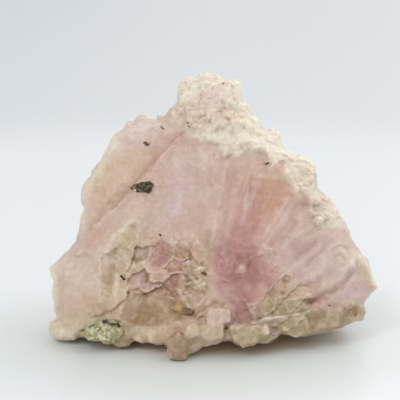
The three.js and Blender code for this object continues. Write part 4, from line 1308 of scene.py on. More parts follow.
class Value:
    """A number that varies over a surface, written in ordinary expressions."""

    def __init__(self, recipe: "Recipe", socket: NodeSocket | None) -> None:
        """Wraps a node's output."""
        self.recipe = recipe
        self.socket = socket

    def __add__(self, other: Term) -> "Value":
        """The sum."""
        return self.recipe.maths("ADD", self, other)

    def __sub__(self, other: Term) -> "Value":
        """The difference."""
        return self.recipe.maths("SUBTRACT", self, other)

    def __rsub__(self, other: Term) -> "Value":
        """The difference, taken from a plain number."""
        return self.recipe.maths("SUBTRACT", other, self)

    def __mul__(self, other: Term) -> "Value":
        """The product."""
        return self.recipe.maths("MULTIPLY", self, other)

    __radd__ = __add__
    __rmul__ = __mul__

    def absolute(self) -> "Value":
        """Its size without its sign."""
        return self.recipe.maths("ABSOLUTE", self, 0.0)

    def between(self, low: float, high: float) -> "Value":
        """Its smooth rise from 0 at low to 1 at high."""
        links = {"Value": self, "From Min": low, "From Max": high}
        return self.recipe.add("ShaderNodeMapRange", {"interpolation_type": "SMOOTHSTEP"}, links, "Result")


Link = Value | float | Colour | tuple[float, float, float]


class Recipe:
    """A material in the making."""

    def __init__(self, name: str) -> None:
        """Starts an empty node material.

        Args:
            name: The material's name.
        """
        self.material = bpy.data.materials.new(name)
        self.material.use_nodes = True
        self.tree = self.material.node_tree
        self.tree.nodes.clear()

    def add(
        self,
        kind: str,
        settings: dict[str, object] | None = None,
        links: dict[str | int, Link] | None = None,
        output: str | int = 0,
    ) -> Value:
        """Adds a node.

        Args:
            kind: The node's type.
            settings: Its properties, which are set before its sockets.
            links: What each of its inputs holds or is joined to.
            output: The output to hand back.

        Returns:
            That output.
        """
        node = self.tree.nodes.new(kind)
        for name, value in (settings or {}).items():
            setattr(node, name, value)
        for name, value in (links or {}).items():
            if isinstance(value, Value):
                self.tree.links.new(value.socket, node.inputs[name])
            else:
                node.inputs[name].default_value = value
        return Value(self, node.outputs[output] if node.outputs else None)

    def maths(self, operation: str, first: Term, second: Term) -> Value:
        """A sum, product or other result of two numbers."""
        return self.add("ShaderNodeMath", {"operation": operation}, {0: first, 1: second})

    def mix(self, share: Term, first: Link, second: Link, how: str = "MIX") -> Value:
        """A colour between two colours."""
        settings = {"data_type": "RGBA", "blend_type": how}
        return self.add("ShaderNodeMix", settings, {0: share, 6: first, 7: second}, 2)

    def shaded(self, share: Term, colour: Link, tint: Colour) -> Value:
        """The colour with a share of it multiplied by a tint."""
        return self.mix(share, colour, self.mix(1.0, colour, tint, "MULTIPLY"))

    def vectors(self, operation: str, *terms: Link, output: str = "Vector") -> Value:
        """A sum, length or other result of one or two vectors."""
        return self.add("ShaderNodeVectorMath", {"operation": operation}, dict(enumerate(terms)), output)

    def weight(self, name: str) -> Value:
        """A weight that the mesh carries at its vertices."""
        return self.add("ShaderNodeAttribute", {"attribute_name": name}, None, "Fac")

    def place(self) -> Value:
        """The place on the object, in metres."""
        return self.add("ShaderNodeTexCoord", None, None, "Object")

    def _moved(self, seed: float) -> Value:
        """The place on the object, shifted so that no two patterns run alike."""
        return self.vectors("ADD", self.place(), (seed, seed, seed))

    def noise(self, size: float, detail: float = 3.0, seed: float = 0.0, bend: float = 0.0) -> Value:
        """Cloudy variation from 0 to 1, of about a given size in millimetres."""
        links = {"Vector": self._moved(seed), "Scale": 1.0 / (size * MM), "Detail": detail}
        return self.add("ShaderNodeTexNoise", None, {**links, "Distortion": bend}, "Fac")

    def crackle(self, size: float, seed: float = 0.0) -> Value:
        """Distance to the nearest crystal grain's middle, for grains of a size in millimetres."""
        links = {"Vector": self._moved(seed), "Scale": 1.0 / (size * MM)}
        return self.add("ShaderNodeTexVoronoi", None, links, "Distance")

    def fractures(self, size: float, seed: float = 0.0) -> Value:
        """A tone from 0 to 1 that differs from one flat-sided grain to the next.

        Args:
            size: Width of a grain, in millimetres.
            seed: Which set of grains.

        Returns:
            The tone.
        """
        links = {"Vector": self.place(), "Scale": 1.5 / (size * MM)}
        bend = self.add("ShaderNodeTexNoise", None, links, "Color")
        bend = self.vectors("MULTIPLY", bend, (0.7 * size * MM,) * 3)
        moved = self.vectors("ADD", self.vectors("ADD", self.place(), bend), (seed, seed, seed))
        links = {"Vector": moved, "Scale": 1.0 / (size * MM), "Smoothness": 0.25}
        cells = self.add("ShaderNodeTexVoronoi", {"feature": "SMOOTH_F1"}, links, "Color")
        return self.add("ShaderNodeSeparateColor", None, {0: cells}, 0).between(0.35, 0.9)

    def broken(self, size: float, seed: float = 0.0) -> Value:
        """Height, in millimetres, of small flat facets that tilt this way and that.

        Args:
            size: Width of a facet, in millimetres.
            seed: Which set of facets.

        Returns:
            The height.
        """
        moved = self._moved(seed)
        cells = self.add("ShaderNodeTexVoronoi", None, {"Vector": moved, "Scale": 1.0 / (size * MM)}, "Color")
        middle = Value(self, cells.socket.node.outputs["Position"])
        tilt = self.vectors("SUBTRACT", cells, (0.5, 0.5, 0.5))
        away = self.vectors("SUBTRACT", moved, middle)
        return self.vectors("DOT_PRODUCT", tilt, away, output="Value") * (1.0 / MM)

    def bump(self, height: Value, depth: float, strength: float = 1.0) -> Value:
        """A surface direction that reads as small relief, of a depth in millimetres."""
        links = {"Height": height, "Distance": depth * MM, "Strength": strength}
        return self.add("ShaderNodeBump", None, links, "Normal")

    def finish(self, links: dict[str | int, Link]) -> Material:
        """Closes the material with one Principled shader.

        Args:
            links: What each of the shader's inputs holds or is joined to.

        Returns:
            The finished material.
        """
        shader = self.add("ShaderNodeBsdfPrincipled", None, links)
        self.add("ShaderNodeOutputMaterial", None, {"Surface": shader})
        return self.material


@dataclass(frozen=True)
class QuartzFinish:
    """Rose quartz: a pale pink body stained by iron and clouded, glassy where it is broken, with painted
    highlights on its proud edges and painted shade in its hollows.
    """

    body: Colour = seen(210, 183, 167)
    cloudy: Colour = seen(226, 206, 196)
    warm: Colour = seen(192, 154, 130)
    pale_streak: Colour = seen(218, 200, 194)
    deep_streak: Colour = seen(184, 138, 126)
    veil: Colour = seen(228, 212, 202)
    grain_shade: Colour = srgb(242, 231, 232)
    grain_light: Colour = seen(226, 208, 202)
    sugar_shades: tuple[tuple[float, Colour], ...] = ((1.7, srgb(236, 224, 210)), (0.8, srgb(232, 218, 202)))
    dust: Colour = seen(220, 206, 184)
    iron: Colour = seen(166, 144, 108)
    # The next two colours are a painted highlight for proud edges and a painted shade for hollows and
    # creases.
    edge: Colour = seen(234, 218, 200)
    painted_hollow_shade: Colour = srgb(214, 176, 150)
    roughness: float = 0.26
    translucency: float = 0.45
    light_reach: float = 1.9

    def material(self) -> Material:
        """The quartz's material, which reads the weights that the stone's mesh carries.

        Returns:
            The material.
        """
        recipe = Recipe("rose_quartz")
        colour: Link = self.body
        for hue in Hue:
            colour = recipe.mix(recipe.weight(hue.label), colour, seen(*hue.value))
        bare = 1.0 - recipe.weight("cream")
        streaky = recipe.weight("streaky")
        rubbly = recipe.weight("rubbly")
        proud = recipe.weight("proud")
        cloudy = recipe.noise(5.0, 4.0, 1.3, 0.6).between(0.4, 0.75)
        colour = recipe.mix(cloudy * 0.2, colour, self.cloudy)
        warm = recipe.noise(2.6, 3.0, 4.1, 0.4).between(0.5, 0.8)
        colour = recipe.mix(warm * bare * 0.16, colour, self.warm)
        streak = self.streaks(recipe)
        colour = recipe.mix(streak.between(0.52, 0.78) * streaky * 0.6, colour, self.pale_streak)
        colour = recipe.mix((1.0 - streak).between(0.55, 0.8) * streaky * 0.5, colour, self.deep_streak)
        veil = self.veils(recipe, 7.0, 3.3)
        colour = recipe.mix(veil * (0.3 - streaky * 0.3), colour, self.veil)
        colour = recipe.shaded(recipe.fractures(4.5, 1.0) * bare * 0.5, colour, self.grain_shade)
        colour = recipe.mix(recipe.fractures(3.0, 6.0) * bare * 0.05, colour, self.grain_light)
        sugary = rubbly * 0.45 + recipe.weight("cream") * 0.3 + 0.05
        for size, tint in self.sugar_shades:
            colour = recipe.shaded(recipe.fractures(size, size) * sugary, colour, tint)
        dusty = recipe.noise(1.7, 4.0, 6.2, 0.5).between(0.5, 0.66)
        colour = recipe.mix(dusty * rubbly * 0.3, colour, self.dust)
        stained = recipe.noise(1.5, 4.0, 9.6, 0.5).between(0.52, 0.66)
        colour = recipe.mix(stained * rubbly * 0.2, colour, self.iron)
        # Painted highlight: raised edges and rims are lightened by how proud they stand.
        colour = recipe.mix(proud.between(0.1, 0.8) * (0.45 - rubbly * 0.15), colour, self.edge)
        # Painted shade: hollows and creases are darkened, more on the bare quartz than on the crust.
        painted_shade_share = (0.0 - proud).between(0.1, 0.9)
        colour = recipe.shaded(painted_shade_share * (bare * 0.35 + 0.1), colour, self.painted_hollow_shade)
        speck = recipe.crackle(0.55, 2.0)
        grain = recipe.noise(0.7, 2.0, 7.7)
        relief = grain * 0.06 + speck * 0.04 + recipe.broken(1.7, 0.0) * 0.3 + recipe.broken(0.8, 5.0) * 0.25
        links = {
            "Base Color": colour,
            "Roughness": recipe.noise(2.4, 2.0, 9.1) * 0.24 + self.roughness,
            "IOR": 1.54,
            "Subsurface Weight": self.translucency,
            "Subsurface Radius": (1.0, 0.82, 0.7),
            "Subsurface Scale": self.light_reach * MM,
            "Normal": recipe.bump(relief, 1.3, 0.9),
        }
        return recipe.finish(links)

    @staticmethod
    def veils(recipe: Recipe, size: float, seed: float) -> Value:
        """Thin, curving sheets that catch the light inside the stone, from 0 to 1.

        Args:
            recipe: The material in the making.
            size: How far apart they lie, in millimetres.
            seed: Which set of sheets.

        Returns:
            The strength of the nearest sheet.
        """
        fold = (recipe.noise(size, 3.0, seed, 0.8) - 0.5).absolute()
        some = recipe.noise(size * 0.8, 1.0, seed + 5.0).between(0.5, 0.7)
        return (1.0 - fold.between(0.0, 0.04)) * some

    @staticmethod
    def streaks(recipe: Recipe) -> Value:
        """Streaky variation that runs along the fan.

        Args:
            recipe: The material in the making.

        Returns:
            A tone from 0 to 1.
        """
        links = {"X": recipe.weight("fan_across"), "Y": recipe.weight("fan_along") * 0.09, "Z": 3.0}
        where = recipe.add("ShaderNodeCombineXYZ", None, links)
        links = {"Vector": where, "Scale": 0.75, "Detail": 3.0, "Distortion": 0.5}
        return recipe.add("ShaderNodeTexNoise", None, links, "Fac")


@dataclass(frozen=True)
class DarkMineralFinish:
    """A near-black, glassy mineral with brown and olive lights in it."""

    body: Colour = srgb(50, 40, 25)
    lights: Colour = srgb(136, 116, 72)

    def material(self) -> Material:
        """The dark mineral's material.

        Returns:
            The material.
        """
        recipe = Recipe("dark_mineral")
        glints = recipe.noise(0.8, 3.0, 2.2, 0.8).between(0.5, 0.66)
        colour = recipe.mix(glints, self.body, self.lights)
        links = {
            "Base Color": colour,
            "Roughness": recipe.noise(0.8, 2.0, 3.0) * 0.3 + 0.12,
            "IOR": 1.62,
            "Specular IOR Level": 0.3,
            "Normal": recipe.bump(recipe.noise(0.6, 2.0, 5.0), 0.15, 0.8),
        }
        return recipe.finish(links)


@dataclass(frozen=True)
class AmberFinish:
    """Honey-brown iron-stained quartz that darkens towards one end."""

    body: Colour = seen(178, 144, 94)
    honey: Colour = seen(188, 158, 112)
    dark: Colour = seen(112, 76, 44)

    def material(self) -> Material:
        """The brown crystal's material.

        Returns:
            The material.
        """
        recipe = Recipe("brown_quartz")
        patchy = recipe.noise(1.1, 3.0, 1.0, 0.6).between(0.35, 0.7)
        colour = recipe.mix(patchy * 0.4, self.body, self.honey)
        colour = recipe.mix(recipe.weight("dark_end"), colour, self.dark)
        links = {
            "Base Color": colour,
            "Roughness": recipe.noise(0.8, 2.0, 3.0) * 0.3 + 0.15,
            "IOR": 1.54,
            "Subsurface Weight": 0.15,
            "Subsurface Radius": (1.0, 0.55, 0.25),
            "Subsurface Scale": 0.8 * MM,
            "Normal": recipe.bump(recipe.noise(0.5, 2.0, 5.0), 0.12, 0.7),
        }
        return recipe.finish(links)


@dataclass(frozen=True)
class GreenGrainFinish:
    """Pale green, sugary grains with an ochre end, and painted shade in their hollows."""

    body: Colour = seen(164, 156, 116)
    pale: Colour = seen(212, 210, 180)
    ochre: Colour = seen(170, 152, 106)
    # Painted shade for the hollows.
    hollow: Colour = seen(56, 44, 30)
    speck: Colour = seen(112, 98, 64)

    def material(self) -> Material:
        """The granular patch's material.

        Returns:
            The material.
        """
        recipe = Recipe("green_grains")
        patchy = recipe.noise(0.9, 4.0, 0.4).between(0.42, 0.6)
        colour = recipe.mix(patchy, self.body, self.pale)
        colour = recipe.mix(recipe.weight("ochre") * 0.75, colour, self.ochre)
        colour = recipe.mix(recipe.noise(0.6, 3.0, 3.4).between(0.56, 0.68) * 0.7, colour, self.speck)
        # Painted shade: the hollows are darkened.
        colour = recipe.mix(recipe.weight("hollow"), colour, self.hollow)
        links = {
            "Base Color": colour,
            "Roughness": recipe.noise(0.8, 2.0, 3.0) * 0.2 + 0.5,
            "Subsurface Weight": 0.12,
            "Subsurface Radius": (1.0, 0.9, 0.6),
            "Subsurface Scale": 0.6 * MM,
            "Normal": recipe.bump(recipe.crackle(0.4, 1.0), 0.12, 0.8),
        }
        return recipe.finish(links)


@dataclass(frozen=True)
class PaleFloorFinish:
    """A pale sheet with a soft gloss: near white round the stone, with a painted shadow close round it,
    painted warm light under it where light comes through the pink quartz, and painted fall-off of the light
    that makes it greyer far off and to the left.
    """

    near: Colour = srgb(238, 242, 244)
    # shaded is a painted shadow, under is painted warm light, and far and far_left are painted fall-off of
    # the light.
    shaded: Colour = srgb(228, 234, 233)
    under: Colour = srgb(246, 230, 208)
    far: Colour = srgb(226, 230, 233)
    far_left: Colour = srgb(214, 220, 226)

    def material(self) -> Material:
        """The floor's material.

        Returns:
            The material.
        """
        recipe = Recipe("pale_floor")
        where = recipe.place()
        flat = recipe.vectors("MULTIPLY", where, (1.0, 1.0, 0.0))
        reach = recipe.vectors("LENGTH", flat, output="Value")
        across = recipe.add("ShaderNodeSeparateXYZ", None, {0: where}, "X")
        # Painted fall-off of the light: greyer far off, and greyer still to the left.
        far = recipe.mix(across.between(-0.22, 0.0), self.far_left, self.far)
        colour = recipe.mix(reach.between(0.24, 0.42), self.near, far)
        oval = recipe.vectors("MULTIPLY", where, (0.62, 1.0, 0.0))
        close = recipe.vectors("LENGTH", oval, output="Value")
        # Painted shadow: a darker oval close round the stone.
        colour = recipe.mix(1.0 - close.between(0.03, 0.06), colour, self.shaded)
        # Painted warm light under the stone, where light comes through the pink quartz.
        colour = recipe.mix(1.0 - close.between(0.012, 0.021), colour, self.under)
        return recipe.finish({"Base Color": colour, "Roughness": 0.28, "Specular IOR Level": 0.5})


# ---- The stone ----


@dataclass
class QuartzMass:
    """The whole intergrown quartz: broken face, crust, druse on the back, one closed skin."""

    coarse_voxel: float = 0.42
    fine_voxel: float = 0.25
    crust_growth: float = 0.34
    druse_growth: float = 0.16
    swell: float = 0.05
    full_edge: float = 0.3
    most_faces: int = 196_000
    finish: QuartzFinish = QuartzFinish()

    def build(self) -> Object:
        """Shapes and dresses the stone.

        Returns:
            The finished object, riding on the root body.
        """
        skin = self._with_crust(self._core())
        return self._finished(skin, self._carve(skin))

    def _core(self) -> Skin:
        """The CAD mass recast as one soft skin, with its seats filled and its blocky lumps set on it.

        Returns:
            The skin.
        """
        skin = Skin.of_mesh(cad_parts["rose_quartz"].data)
        for name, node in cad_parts.items():
            if name != "rose_quartz":
                skin = skin.joined(Skin.of_mesh(node.data))
        skin = skin.recast(self.coarse_voxel)
        skin.points = skin.spread(skin.points, 1)
        u, v, w = DRAWING.read(skin.points).T
        facing = skin.spread(skin.normals(), 3) @ DRAWING.outwards
        level = self._sheet(u, v, w, facing > 0.5)
        front = smoothstep(-0.3, 0.1, facing) * smoothstep(-8.0, -6.0, w - level)
        calm = np.maximum.reduce([shape.inside(u, v) for shape in CALM]) * front
        skin.points = DRAWING.place(u, v, w + (level - w) * calm)
        front = skin.front()
        for block in BLOCKS:
            skin = skin.joined(block.skin(front))
        return skin

    @staticmethod
    def _sheet(u: Array, v: Array, w: Array, ahead: Array) -> Array:
        """A gently curved sheet over the front, without its pits and lumps, read at each point.

        Args:
            u: Places across the drawing.
            v: Places up it.
            w: Places out of it.
            ahead: Which of them are on the front.

        Returns:
            How far out the sheet is at each place.
        """
        low = np.array([u.min(), v.min()]) - 6.0
        place = np.stack([u, v], axis=1) - low
        cell = np.floor(place).astype(int)
        shape = cell.max(axis=0) + 8
        index = np.ravel_multi_index(cell[ahead].T, shape)
        total = np.bincount(index, w[ahead], shape[0] * shape[1]).reshape(shape)
        count = np.bincount(index, None, shape[0] * shape[1]).reshape(shape)
        sheet = np.where(count > 0, total / np.maximum(count, 1), np.nan)

        def swept(field: Array, pick: Callable[[Array, Array], Array], rounds: int) -> Array:
            """The field after each cell has taken the highest or lowest of its neighbours.

            Args:
                field: A value for each cell.
                pick: What chooses between two values.
                rounds: How many cells far it reaches.

            Returns:
                The new values.
            """
            for _ in range(rounds):
                for axis in (0, 1):
                    field = pick(pick(field, np.roll(field, 1, axis)), np.roll(field, -1, axis))
            return field

        sheet = swept(swept(sheet, np.fmax, 5), np.minimum, 5)
        sheet = swept(swept(np.where(np.isnan(sheet), np.nanmin(sheet), sheet), np.minimum, 2), np.maximum, 2)
        known = (count > 0).astype(float)
        sheet = sheet * known
        for _ in range(9):
            for axis in (0, 1):
                sheet, known = (
                    0.5 * field + 0.25 * (np.roll(field, 1, axis) + np.roll(field, -1, axis))
                    for field in (sheet, known)
                )
        sheet = sheet / np.maximum(known, TINY)
        part = place - 0.5 - np.floor(place - 0.5)
        at = np.floor(place - 0.5).astype(int)
        return sum(
            sheet[at[:, 0] + i, at[:, 1] + j]
            * (part[:, 0] if i else 1.0 - part[:, 0])
            * (part[:, 1] if j else 1.0 - part[:, 1])
            for i, j in np.ndindex(2, 2)
        )

    def _with_crust(self, skin: Skin) -> Skin:
        """The skin with small crystals grown on its crest, its upper right rim and its back.

        Args:
            skin: The skin so far.

        Returns:
            The new skin.
        """
        heap = CrystalHeap(7)
        skin = skin.recast(self.coarse_voxel)
        normals = skin.normals()
        u, v = DRAWING.read(skin.points).T[:2]
        facing = normals @ DRAWING.outwards
        crust = CRUST.inside(u, v)
        front = smoothstep(-0.2, 0.1, facing)
        low = smoothstep(6.0, 14.0, skin.points[:, 2])
        back = smoothstep(-0.5, -0.8, facing) * low
        lottery = heap.random.uniform(0.0, 1.0, len(u))
        growth = self.crust_growth * crust * front + self.druse_growth * back
        chosen = np.flatnonzero(lottery < self.coarse_voxel**2 * growth)
        for i in chosen:
            at, way = skin.points[i], normals[i]
            size = heap.random.gamma(6.0, 0.16)
            if crust[i] * front[i] > 0.5:
                heap.knob(at - way * size * 0.6, way, size * 0.95, 0.9)
            elif heap.random.uniform() < 0.55:
                heap.point(at - way * size * 0.6, way, size * 0.9, size * heap.random.uniform(1.4, 2.2))
            else:
                heap.knob(at - way * size * 0.5, way, size * 1.5)
        LOG.info("crust: %d crystals", len(chosen))
        skin = skin.joined(heap.skin()).recast(self.fine_voxel)
        facing = skin.normals() @ DRAWING.outwards
        melted = np.maximum(smoothstep(-0.5, -0.1, facing), 0.25)[:, None]
        skin.points = skin.points + (skin.spread(skin.points, 2) - skin.points) * melted
        return skin

    def _carve(self, skin: Skin) -> Array:
        """Gives the skin its fine relief.

        Args:
            skin: The skin, whose points are moved.

        Returns:
            How proud of its surroundings each vertex then is, in millimetres.
        """
        u, v, w = DRAWING.read(skin.points).T
        normals = skin.normals()
        front = smoothstep(0.05, 0.35, skin.spread(normals, 3) @ DRAWING.outwards)
        look = front > 0.0
        at = np.stack([u, v, 0.0 * w], axis=-1)[look]
        wu, wv = bent(u[look], v[look])
        rise = 0.35 * Roughness(33).smooth(at, 9.0)
        for mark in FACE_MARKS:
            if mark.rise:
                rise += mark.rise * mark.reach(wu, wv)
        for rubble in FACE_RUBBLE:
            rise += rubble.relief(wu, wv, w[look])
        rise += 0.07 * Roughness(35).fractal(at, 1.2, 2)
        relief = np.zeros(len(u))
        relief[look] = rise * front[look]
        moved = DRAWING.place(u, v, w + relief)
        rest = 1.0 - front
        space = Roughness(41)
        rough = 0.45 * space.facets(skin.points, 3.0) + 0.14 * space.fractal(skin.points, 1.6, 3)
        rough = rough + 0.3 * space.facets(skin.points, 1.4) + self.swell
        above = smoothstep(0.2, 2.5, skin.points[:, 2])
        moved = moved + normals * (rest * rough * above)[:, None]
        resting = skin.points[:, 2] < 0.3
        moved[:, 2] = np.maximum(np.where(resting, skin.points[:, 2], moved[:, 2]), 0.0)
        skin.points = moved
        return np.einsum("ij,ij->i", skin.points - skin.spread(skin.points, 14), normals)

    def _weights(self, skin: Skin) -> dict[str, Array]:
        """How strongly each hue shows, as mixing factors with each hue laid over the ones before it.

        Args:
            skin: The skin.

        Returns:
            A factor for each vertex, by the hues' names.
        """
        u, v = DRAWING.read(skin.points).T[:2]
        facing = skin.spread(skin.normals(), 4) @ DRAWING.outwards
        front = smoothstep(-0.45, -0.1, facing)
        wu, wv = bent(u, v)
        shares = {hue: np.zeros(len(u)) for hue in Hue}
        patchy = Roughness(61)
        grown = (
            (PEACH, 0.7 * smoothstep(0.0, 0.5, patchy.fractal(skin.points, 16.0))),
            (ROSE, 0.35 * smoothstep(0.1, 0.6, patchy.fractal(skin.points + 90.0, 13.0))),
            (SAND, 0.6 * smoothstep(-0.1, 0.4, patchy.fractal(skin.points + 40.0, 9.0))),
            (CREAM, 0.7 * smoothstep(20.0, 60.0, skin.points[:, 2] + 14.0 * patchy.fractal(skin.points, 6))),
            (OLIVE, 0.5 * smoothstep(0.25, 0.6, patchy.fractal(skin.points + 70.0, 7.0))),
        )
        for hue, strength in grown:
            self._lay_stain_and_painted_light(shares, hue, strength * (1.0 - front))
        for mark in FACE_MARKS:
            if mark.hue is not None:
                self._lay_stain_and_painted_light(shares, mark.hue, mark.strength * mark.reach(wu, wv) * front)
        layers = {}
        left = np.ones(len(u))
        for hue in reversed(Hue):
            layers[hue.label] = np.clip(shares[hue] / np.maximum(left, TINY), 0.0, 1.0)
            left = np.maximum(left - shares[hue], 0.0)
        return layers

    @staticmethod
    def _lay_stain_and_painted_light(shares: dict[Hue, Array], hue: Hue, strength: Array) -> None:
        """Lays one colour over those already there: a stain on most marks, and a painted shade or highlight
        on some.

        Args:
            shares: Each hue's share at each vertex, which is changed.
            hue: Its hue.
            strength: Its strength at each vertex.
        """
        for other in shares:
            shares[other] *= 1.0 - strength
        shares[hue] += strength

    def _finished(self, skin: Skin, proud: Array) -> Object:
        """The stone as an object with its weights and its material.

        Args:
            skin: Its skin.
            proud: How proud of its surroundings each vertex is.

        Returns:
            The object, riding on the root body.
        """
        weights = self._weights(skin)
        weights["proud"] = np.clip(proud / self.full_edge, -1.0, 1.0)
        u, v = DRAWING.read(skin.points).T[:2]
        weights["fan_across"] = FAN.across(u, v)
        weights["fan_along"] = FAN.along(u, v)
        calm = np.maximum(0.8 * Patch(2.4, HEART).inside(u, v), 0.75 * smoothstep(15.0, 24.0, u))
        weights["streaky"] = STREAKY.inside(u, v) * (1.0 - calm)
        weights["rubbly"] = np.maximum.reduce([r.inside(u, v) for r in (LOWER_RIM, PITTED, SHELVES)])
        mesh = skin.to_mesh("rose_quartz_stone", weights=weights)
        mesh.polygons.foreach_set("use_smooth", np.ones(len(mesh.polygons), bool))
        mesh.materials.append(self.finish.material())
        stone = placed("rose_quartz_stone", mesh)
        if len(mesh.polygons) > self.most_faces:
            tool = stone.modifiers.new("thin", "DECIMATE")
            tool.ratio = self.most_faces / len(mesh.polygons)
            thinned = stone.evaluated_get(bpy.context.evaluated_depsgraph_get())
            stone.data = bpy.data.meshes.new_from_object(thinned)
            stone.modifiers.clear()
            bpy.data.meshes.remove(mesh)
            LOG.info("stone: thinned to %d faces", len(stone.data.polygons))
        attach(stone, "root")
        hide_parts("rose_quartz")
        return stone


@dataclass
class Inlays:
    """The small crystals of other minerals that are set in the quartz."""

    front: Array
    voxel: float = 0.11
    grain_voxel: float = 0.07
    dark: Block = Block(0.55, 1.4, ((-21, 42.8), (-19.8, 43.9), (-18.4, 44.4), (-16, 44.6), (-15.2, 43.8),
        (-15.3, 42.3), (-16.2, 41.7), (-19, 41.9)), (0.08, 0.05), 0.5)
    brown: Block = Block(1.1, 2, ((-11.2, 12.8), (-10.2, 13.4), (-9.4, 14.2), (-7.6, 13.9), (-6, 13),
        (-4.6, 12.3), (-5, 11.5), (-6.6, 11), (-8.4, 11.1), (-9.2, 12.2)), (0.06, 0), 0.5)
    green: Block = Block(0.4, 2.5, ((-33.9, 7.2), (-32.6, 8.6), (-30.8, 8.8), (-29.2, 9.6), (-27.4, 10.2),
        (-26, 9.6), (-24.4, 9.9), (-22.8, 8.9), (-22.2, 7.4), (-23.4, 6), (-25, 4.7), (-26.8, 4.4),
        (-28.6, 4.9), (-31, 5.4), (-32.8, 5.9)), (0, 0.02), 0.25)
    hollows: tuple[Spot, ...] = (
        Spot(-27.2, 9.5, 0.9, 0.6), Spot(-23.7, 8.8, 0.9, 0.7), Spot(-25.4, 9, 1, 0.4),
        Spot(-30.2, 8.4, 1.2, 0.25), Spot(-33, 7.4, 0.7, 0.25), Spot(-28.6, 7.2, 0.7, 0.2),
    )

    def build(self) -> list[Object]:
        """Makes and dresses each inlay.

        Returns:
            The finished objects.
        """
        dark, amber, green = (f().material() for f in (DarkMineralFinish, AmberFinish, GreenGrainFinish))
        pieces = [
            self._shown("dark_crystal", self._crystal(self.dark), dark, "dark_mineral"),
            self._shown("brown_crystal", self._crystal(self.brown), amber, "brown_quartz"),
            self._shown("green_grains", self._granular(), green, "green_grains"),
        ]
        for name in sorted(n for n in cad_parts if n.startswith("dark_grain")):
            pieces.append(self._shown(name, (self._grain(name), {}), dark, "dark_mineral"))
        return pieces

    @staticmethod
    def _shown(name: str, shape: Weighted, finish: Material, slot: str) -> Object:
        """An object that stands for a CAD node.

        Args:
            name: The node.
            shape: The piece's skin, and the weights that its finish reads.
            finish: Its material.
            slot: Not used.

        Returns:
            The object, riding on the root body.
        """
        mesh = shape[0].to_mesh(name, weights=shape[1])
        mesh.materials.append(finish)
        thing = placed(name + "_piece", mesh)
        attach(thing, "root")
        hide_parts(name)
        return thing

    def _crystal(self, block: Block) -> Weighted:
        """A crystal with uneven, sharp-edged faces that darkens towards its right end.

        Args:
            block: Its rough shape.

        Returns:
            Its skin and the weight of its dark end.
        """
        skin = block.skin(self.front).recast(self.voxel)
        skin.points = skin.spread(skin.points, 2)
        uneven = 0.3 * Roughness(71).facets(skin.points, 1.3) + 0.12 * Roughness(72).facets(skin.points, 0.6)
        skin.points = skin.points + skin.normals() * uneven[:, None]
        x = skin.points[:, 0] + 0.9 * Roughness(73).facets(skin.points, 1.2)
        tone = smoothstep(x.max() - 3.6, x.max() - 1.2, x)
        return skin, {"dark_end": tone}

    def _grain(self, name: str) -> Skin:
        """A small dark grain: a few splinters grown together where the CAD grain lies.

        Args:
            name: The CAD grain.

        Returns:
            Its skin.
        """
        low, high = (np.array(corner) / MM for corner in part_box(name))
        heap = CrystalHeap(int(1000.0 * abs(low[0])) % 997)
        u, v = DRAWING.read(((low + high) / 2.0)[None])[0, :2]
        level = float(np.median(self.front[np.argsort(np.hypot(*(self.front[:, :2] - (u, v)).T))[:30], 2]))
        middle = DRAWING.place(np.array([u]), np.array([v]), np.array([level]))[0]
        size = 0.3 * float(np.max(high - low))
        slant = heap.random.uniform(-0.9, 0.9)
        step_u, step_v = np.array([0.0, math.cos(slant)]), np.array([0.0, math.sin(slant)])
        ends = DRAWING.place(u + step_u, v + step_v, 0.0)
        for step in (-1.0, -0.35, 0.3, 0.95):
            at = middle + (ends[1] - ends[0]) * step * size + heap.random.normal(0.0, 0.15 * size, 3)
            heap.knob(at, DRAWING.outwards, size * heap.random.uniform(0.45, 0.95), 0.7)
        return heap.skin().recast(self.grain_voxel)

    def _granular(self) -> Weighted:
        """The green patch: a lump made of many small grains.

        Returns:
            Its skin and the weights of its painted hollow shade and its ochre edge.
        """
        heap = CrystalHeap(5)
        shell = self.green.skin(self.front).recast(0.3)
        shell.points = shell.spread(shell.points, 1)
        normals = shell.normals()
        shell.points = shell.points + normals * (0.6 * Roughness(83).facets(shell.points, 1.5))[:, None]
        for i in np.flatnonzero(heap.random.uniform(0.0, 1.0, len(shell.points)) < 0.3):
            size = heap.random.uniform(0.2, 0.55)
            heap.knob(shell.points[i] - normals[i] * 0.35 * size, normals[i], size)
        skin = shell.joined(heap.skin()).recast(0.14)
        u, v = DRAWING.read(skin.points).T[:2]
        grit = Roughness(81).facets(skin.points, 0.9)
        # The hollows are dented a little and painted dark as shade.
        dents = sum(hollow.inside(u + 0.4 * grit, v - 0.4 * grit) for hollow in self.hollows)
        dents = np.clip(dents * 1.2, 0.0, 1.0)
        skin.points = skin.points - DRAWING.outwards * 0.35 * dents[:, None]
        edge = np.maximum(smoothstep(-30.4, -32.6, u + grit), 0.4 * smoothstep(5.8, 4.6, v + 0.8 * grit))
        edge = np.maximum(edge, 0.7 * smoothstep(-25.2, -23.2, u + grit))
        return skin, {"hollow": dents, "ochre": edge}


# ---- The studio ----


@dataclass(frozen=True)
class Lamp:
    """A distant soft light: its strength, its width in degrees, the way to it, and its tint."""

    name: str
    strength: float
    softness: float
    towards: tuple[float, float, float]
    tint: tuple[float, float, float]

    def build(self) -> Object:
        """Sets the light.

        Returns:
            The light.
        """
        data = bpy.data.lights.new(self.name, "SUN")
        data.energy = self.strength
        data.angle = math.radians(self.softness)
        data.color = self.tint
        lamp = placed(self.name, data)
        lamp.location = Vector(self.towards) * 0.6
        lamp.rotation_euler = Vector(self.towards).to_track_quat("Z", "Y").to_euler()
        return lamp


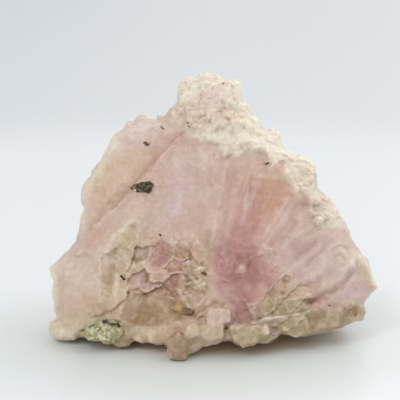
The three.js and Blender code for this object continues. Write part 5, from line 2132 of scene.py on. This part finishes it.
@dataclass
class Studio:
    """A pale floor, soft light from above and a camera that looks at the broken face."""

    floor_radius: float = 3.0
    half_view: float = 50.0 / 330.0
    surround: float = 0.63
    lamps: tuple[Lamp, ...] = (
        Lamp("overhead", 1.4, 80.0, (0.9, 0.75, 1.0), (1.0, 0.995, 0.985)),
        Lamp("front_fill", 0.65, 60.0, (-0.5, -1.0, 0.8), (1.0, 0.985, 0.97)),
        Lamp("front_key", 0.32, 9.0, (-0.6, -0.8, 1.1), (1.0, 0.985, 0.97)),
    )

    def build(self) -> list[Object]:
        """Sets the floor, the lights and the camera.

        Returns:
            The objects that were made.
        """
        return [self._floor(), self._camera(), *self._lights()]

    def _floor(self) -> Object:
        """A round pale floor.

        Returns:
            The floor.
        """
        turn = np.linspace(0.0, 2.0 * math.pi, 96, endpoint=False)
        ring = [(self.floor_radius * math.cos(a), self.floor_radius * math.sin(a), 0.0) for a in turn]
        mesh = bpy.data.meshes.new("floor")
        mesh.from_pydata(ring, [], [tuple(range(len(ring)))])
        mesh.materials.append(PaleFloorFinish().material())
        floor = placed("floor", mesh)
        return floor

    def _camera(self) -> Object:
        """The camera at the drawing's eye point.

        Returns:
            The camera.
        """
        data = bpy.data.cameras.new("camera")
        data.lens = data.sensor_width / 2.0 / self.half_view
        data.clip_start = 0.01
        camera = placed("camera", data)
        eye = DRAWING.place(np.array(DRAWING.sight[:1]), np.array(DRAWING.sight[1:]), np.zeros(1))[0]
        eye = eye + DRAWING.outwards * DRAWING.eye_distance
        camera.location = Vector(eye * MM)
        camera.rotation_euler = Vector(-DRAWING.outwards).to_track_quat("-Z", "Y").to_euler()
        bpy.context.scene.camera = camera
        return camera

    def _lights(self) -> list[Object]:
        """The world's soft light and the lamps.

        Returns:
            The lamps.
        """
        world = bpy.data.worlds.new("soft_light")
        world.use_nodes = True
        shade = world.node_tree.nodes["Background"]
        shade.inputs["Color"].default_value = srgb(244, 246, 248)
        shade.inputs["Strength"].default_value = self.surround
        bpy.context.scene.world = world
        bpy.context.scene.view_settings.view_transform = "Standard"
        return [lamp.build() for lamp in self.lamps]


def main() -> None:
    """Builds the specimen and the studio."""
    logging.basicConfig(level=logging.INFO, format="%(message)s")
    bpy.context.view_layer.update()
    stone = QuartzMass().build()
    LOG.info("built %s", stone.name)
    for piece in Inlays(Skin.of_mesh(stone.data).front()).build():
        LOG.info("built %s with %d faces", piece.name, len(piece.data.polygons))
    for thing in Studio().build():
        LOG.info("set %s", thing.name)


if __name__ == "__main__":
    main()
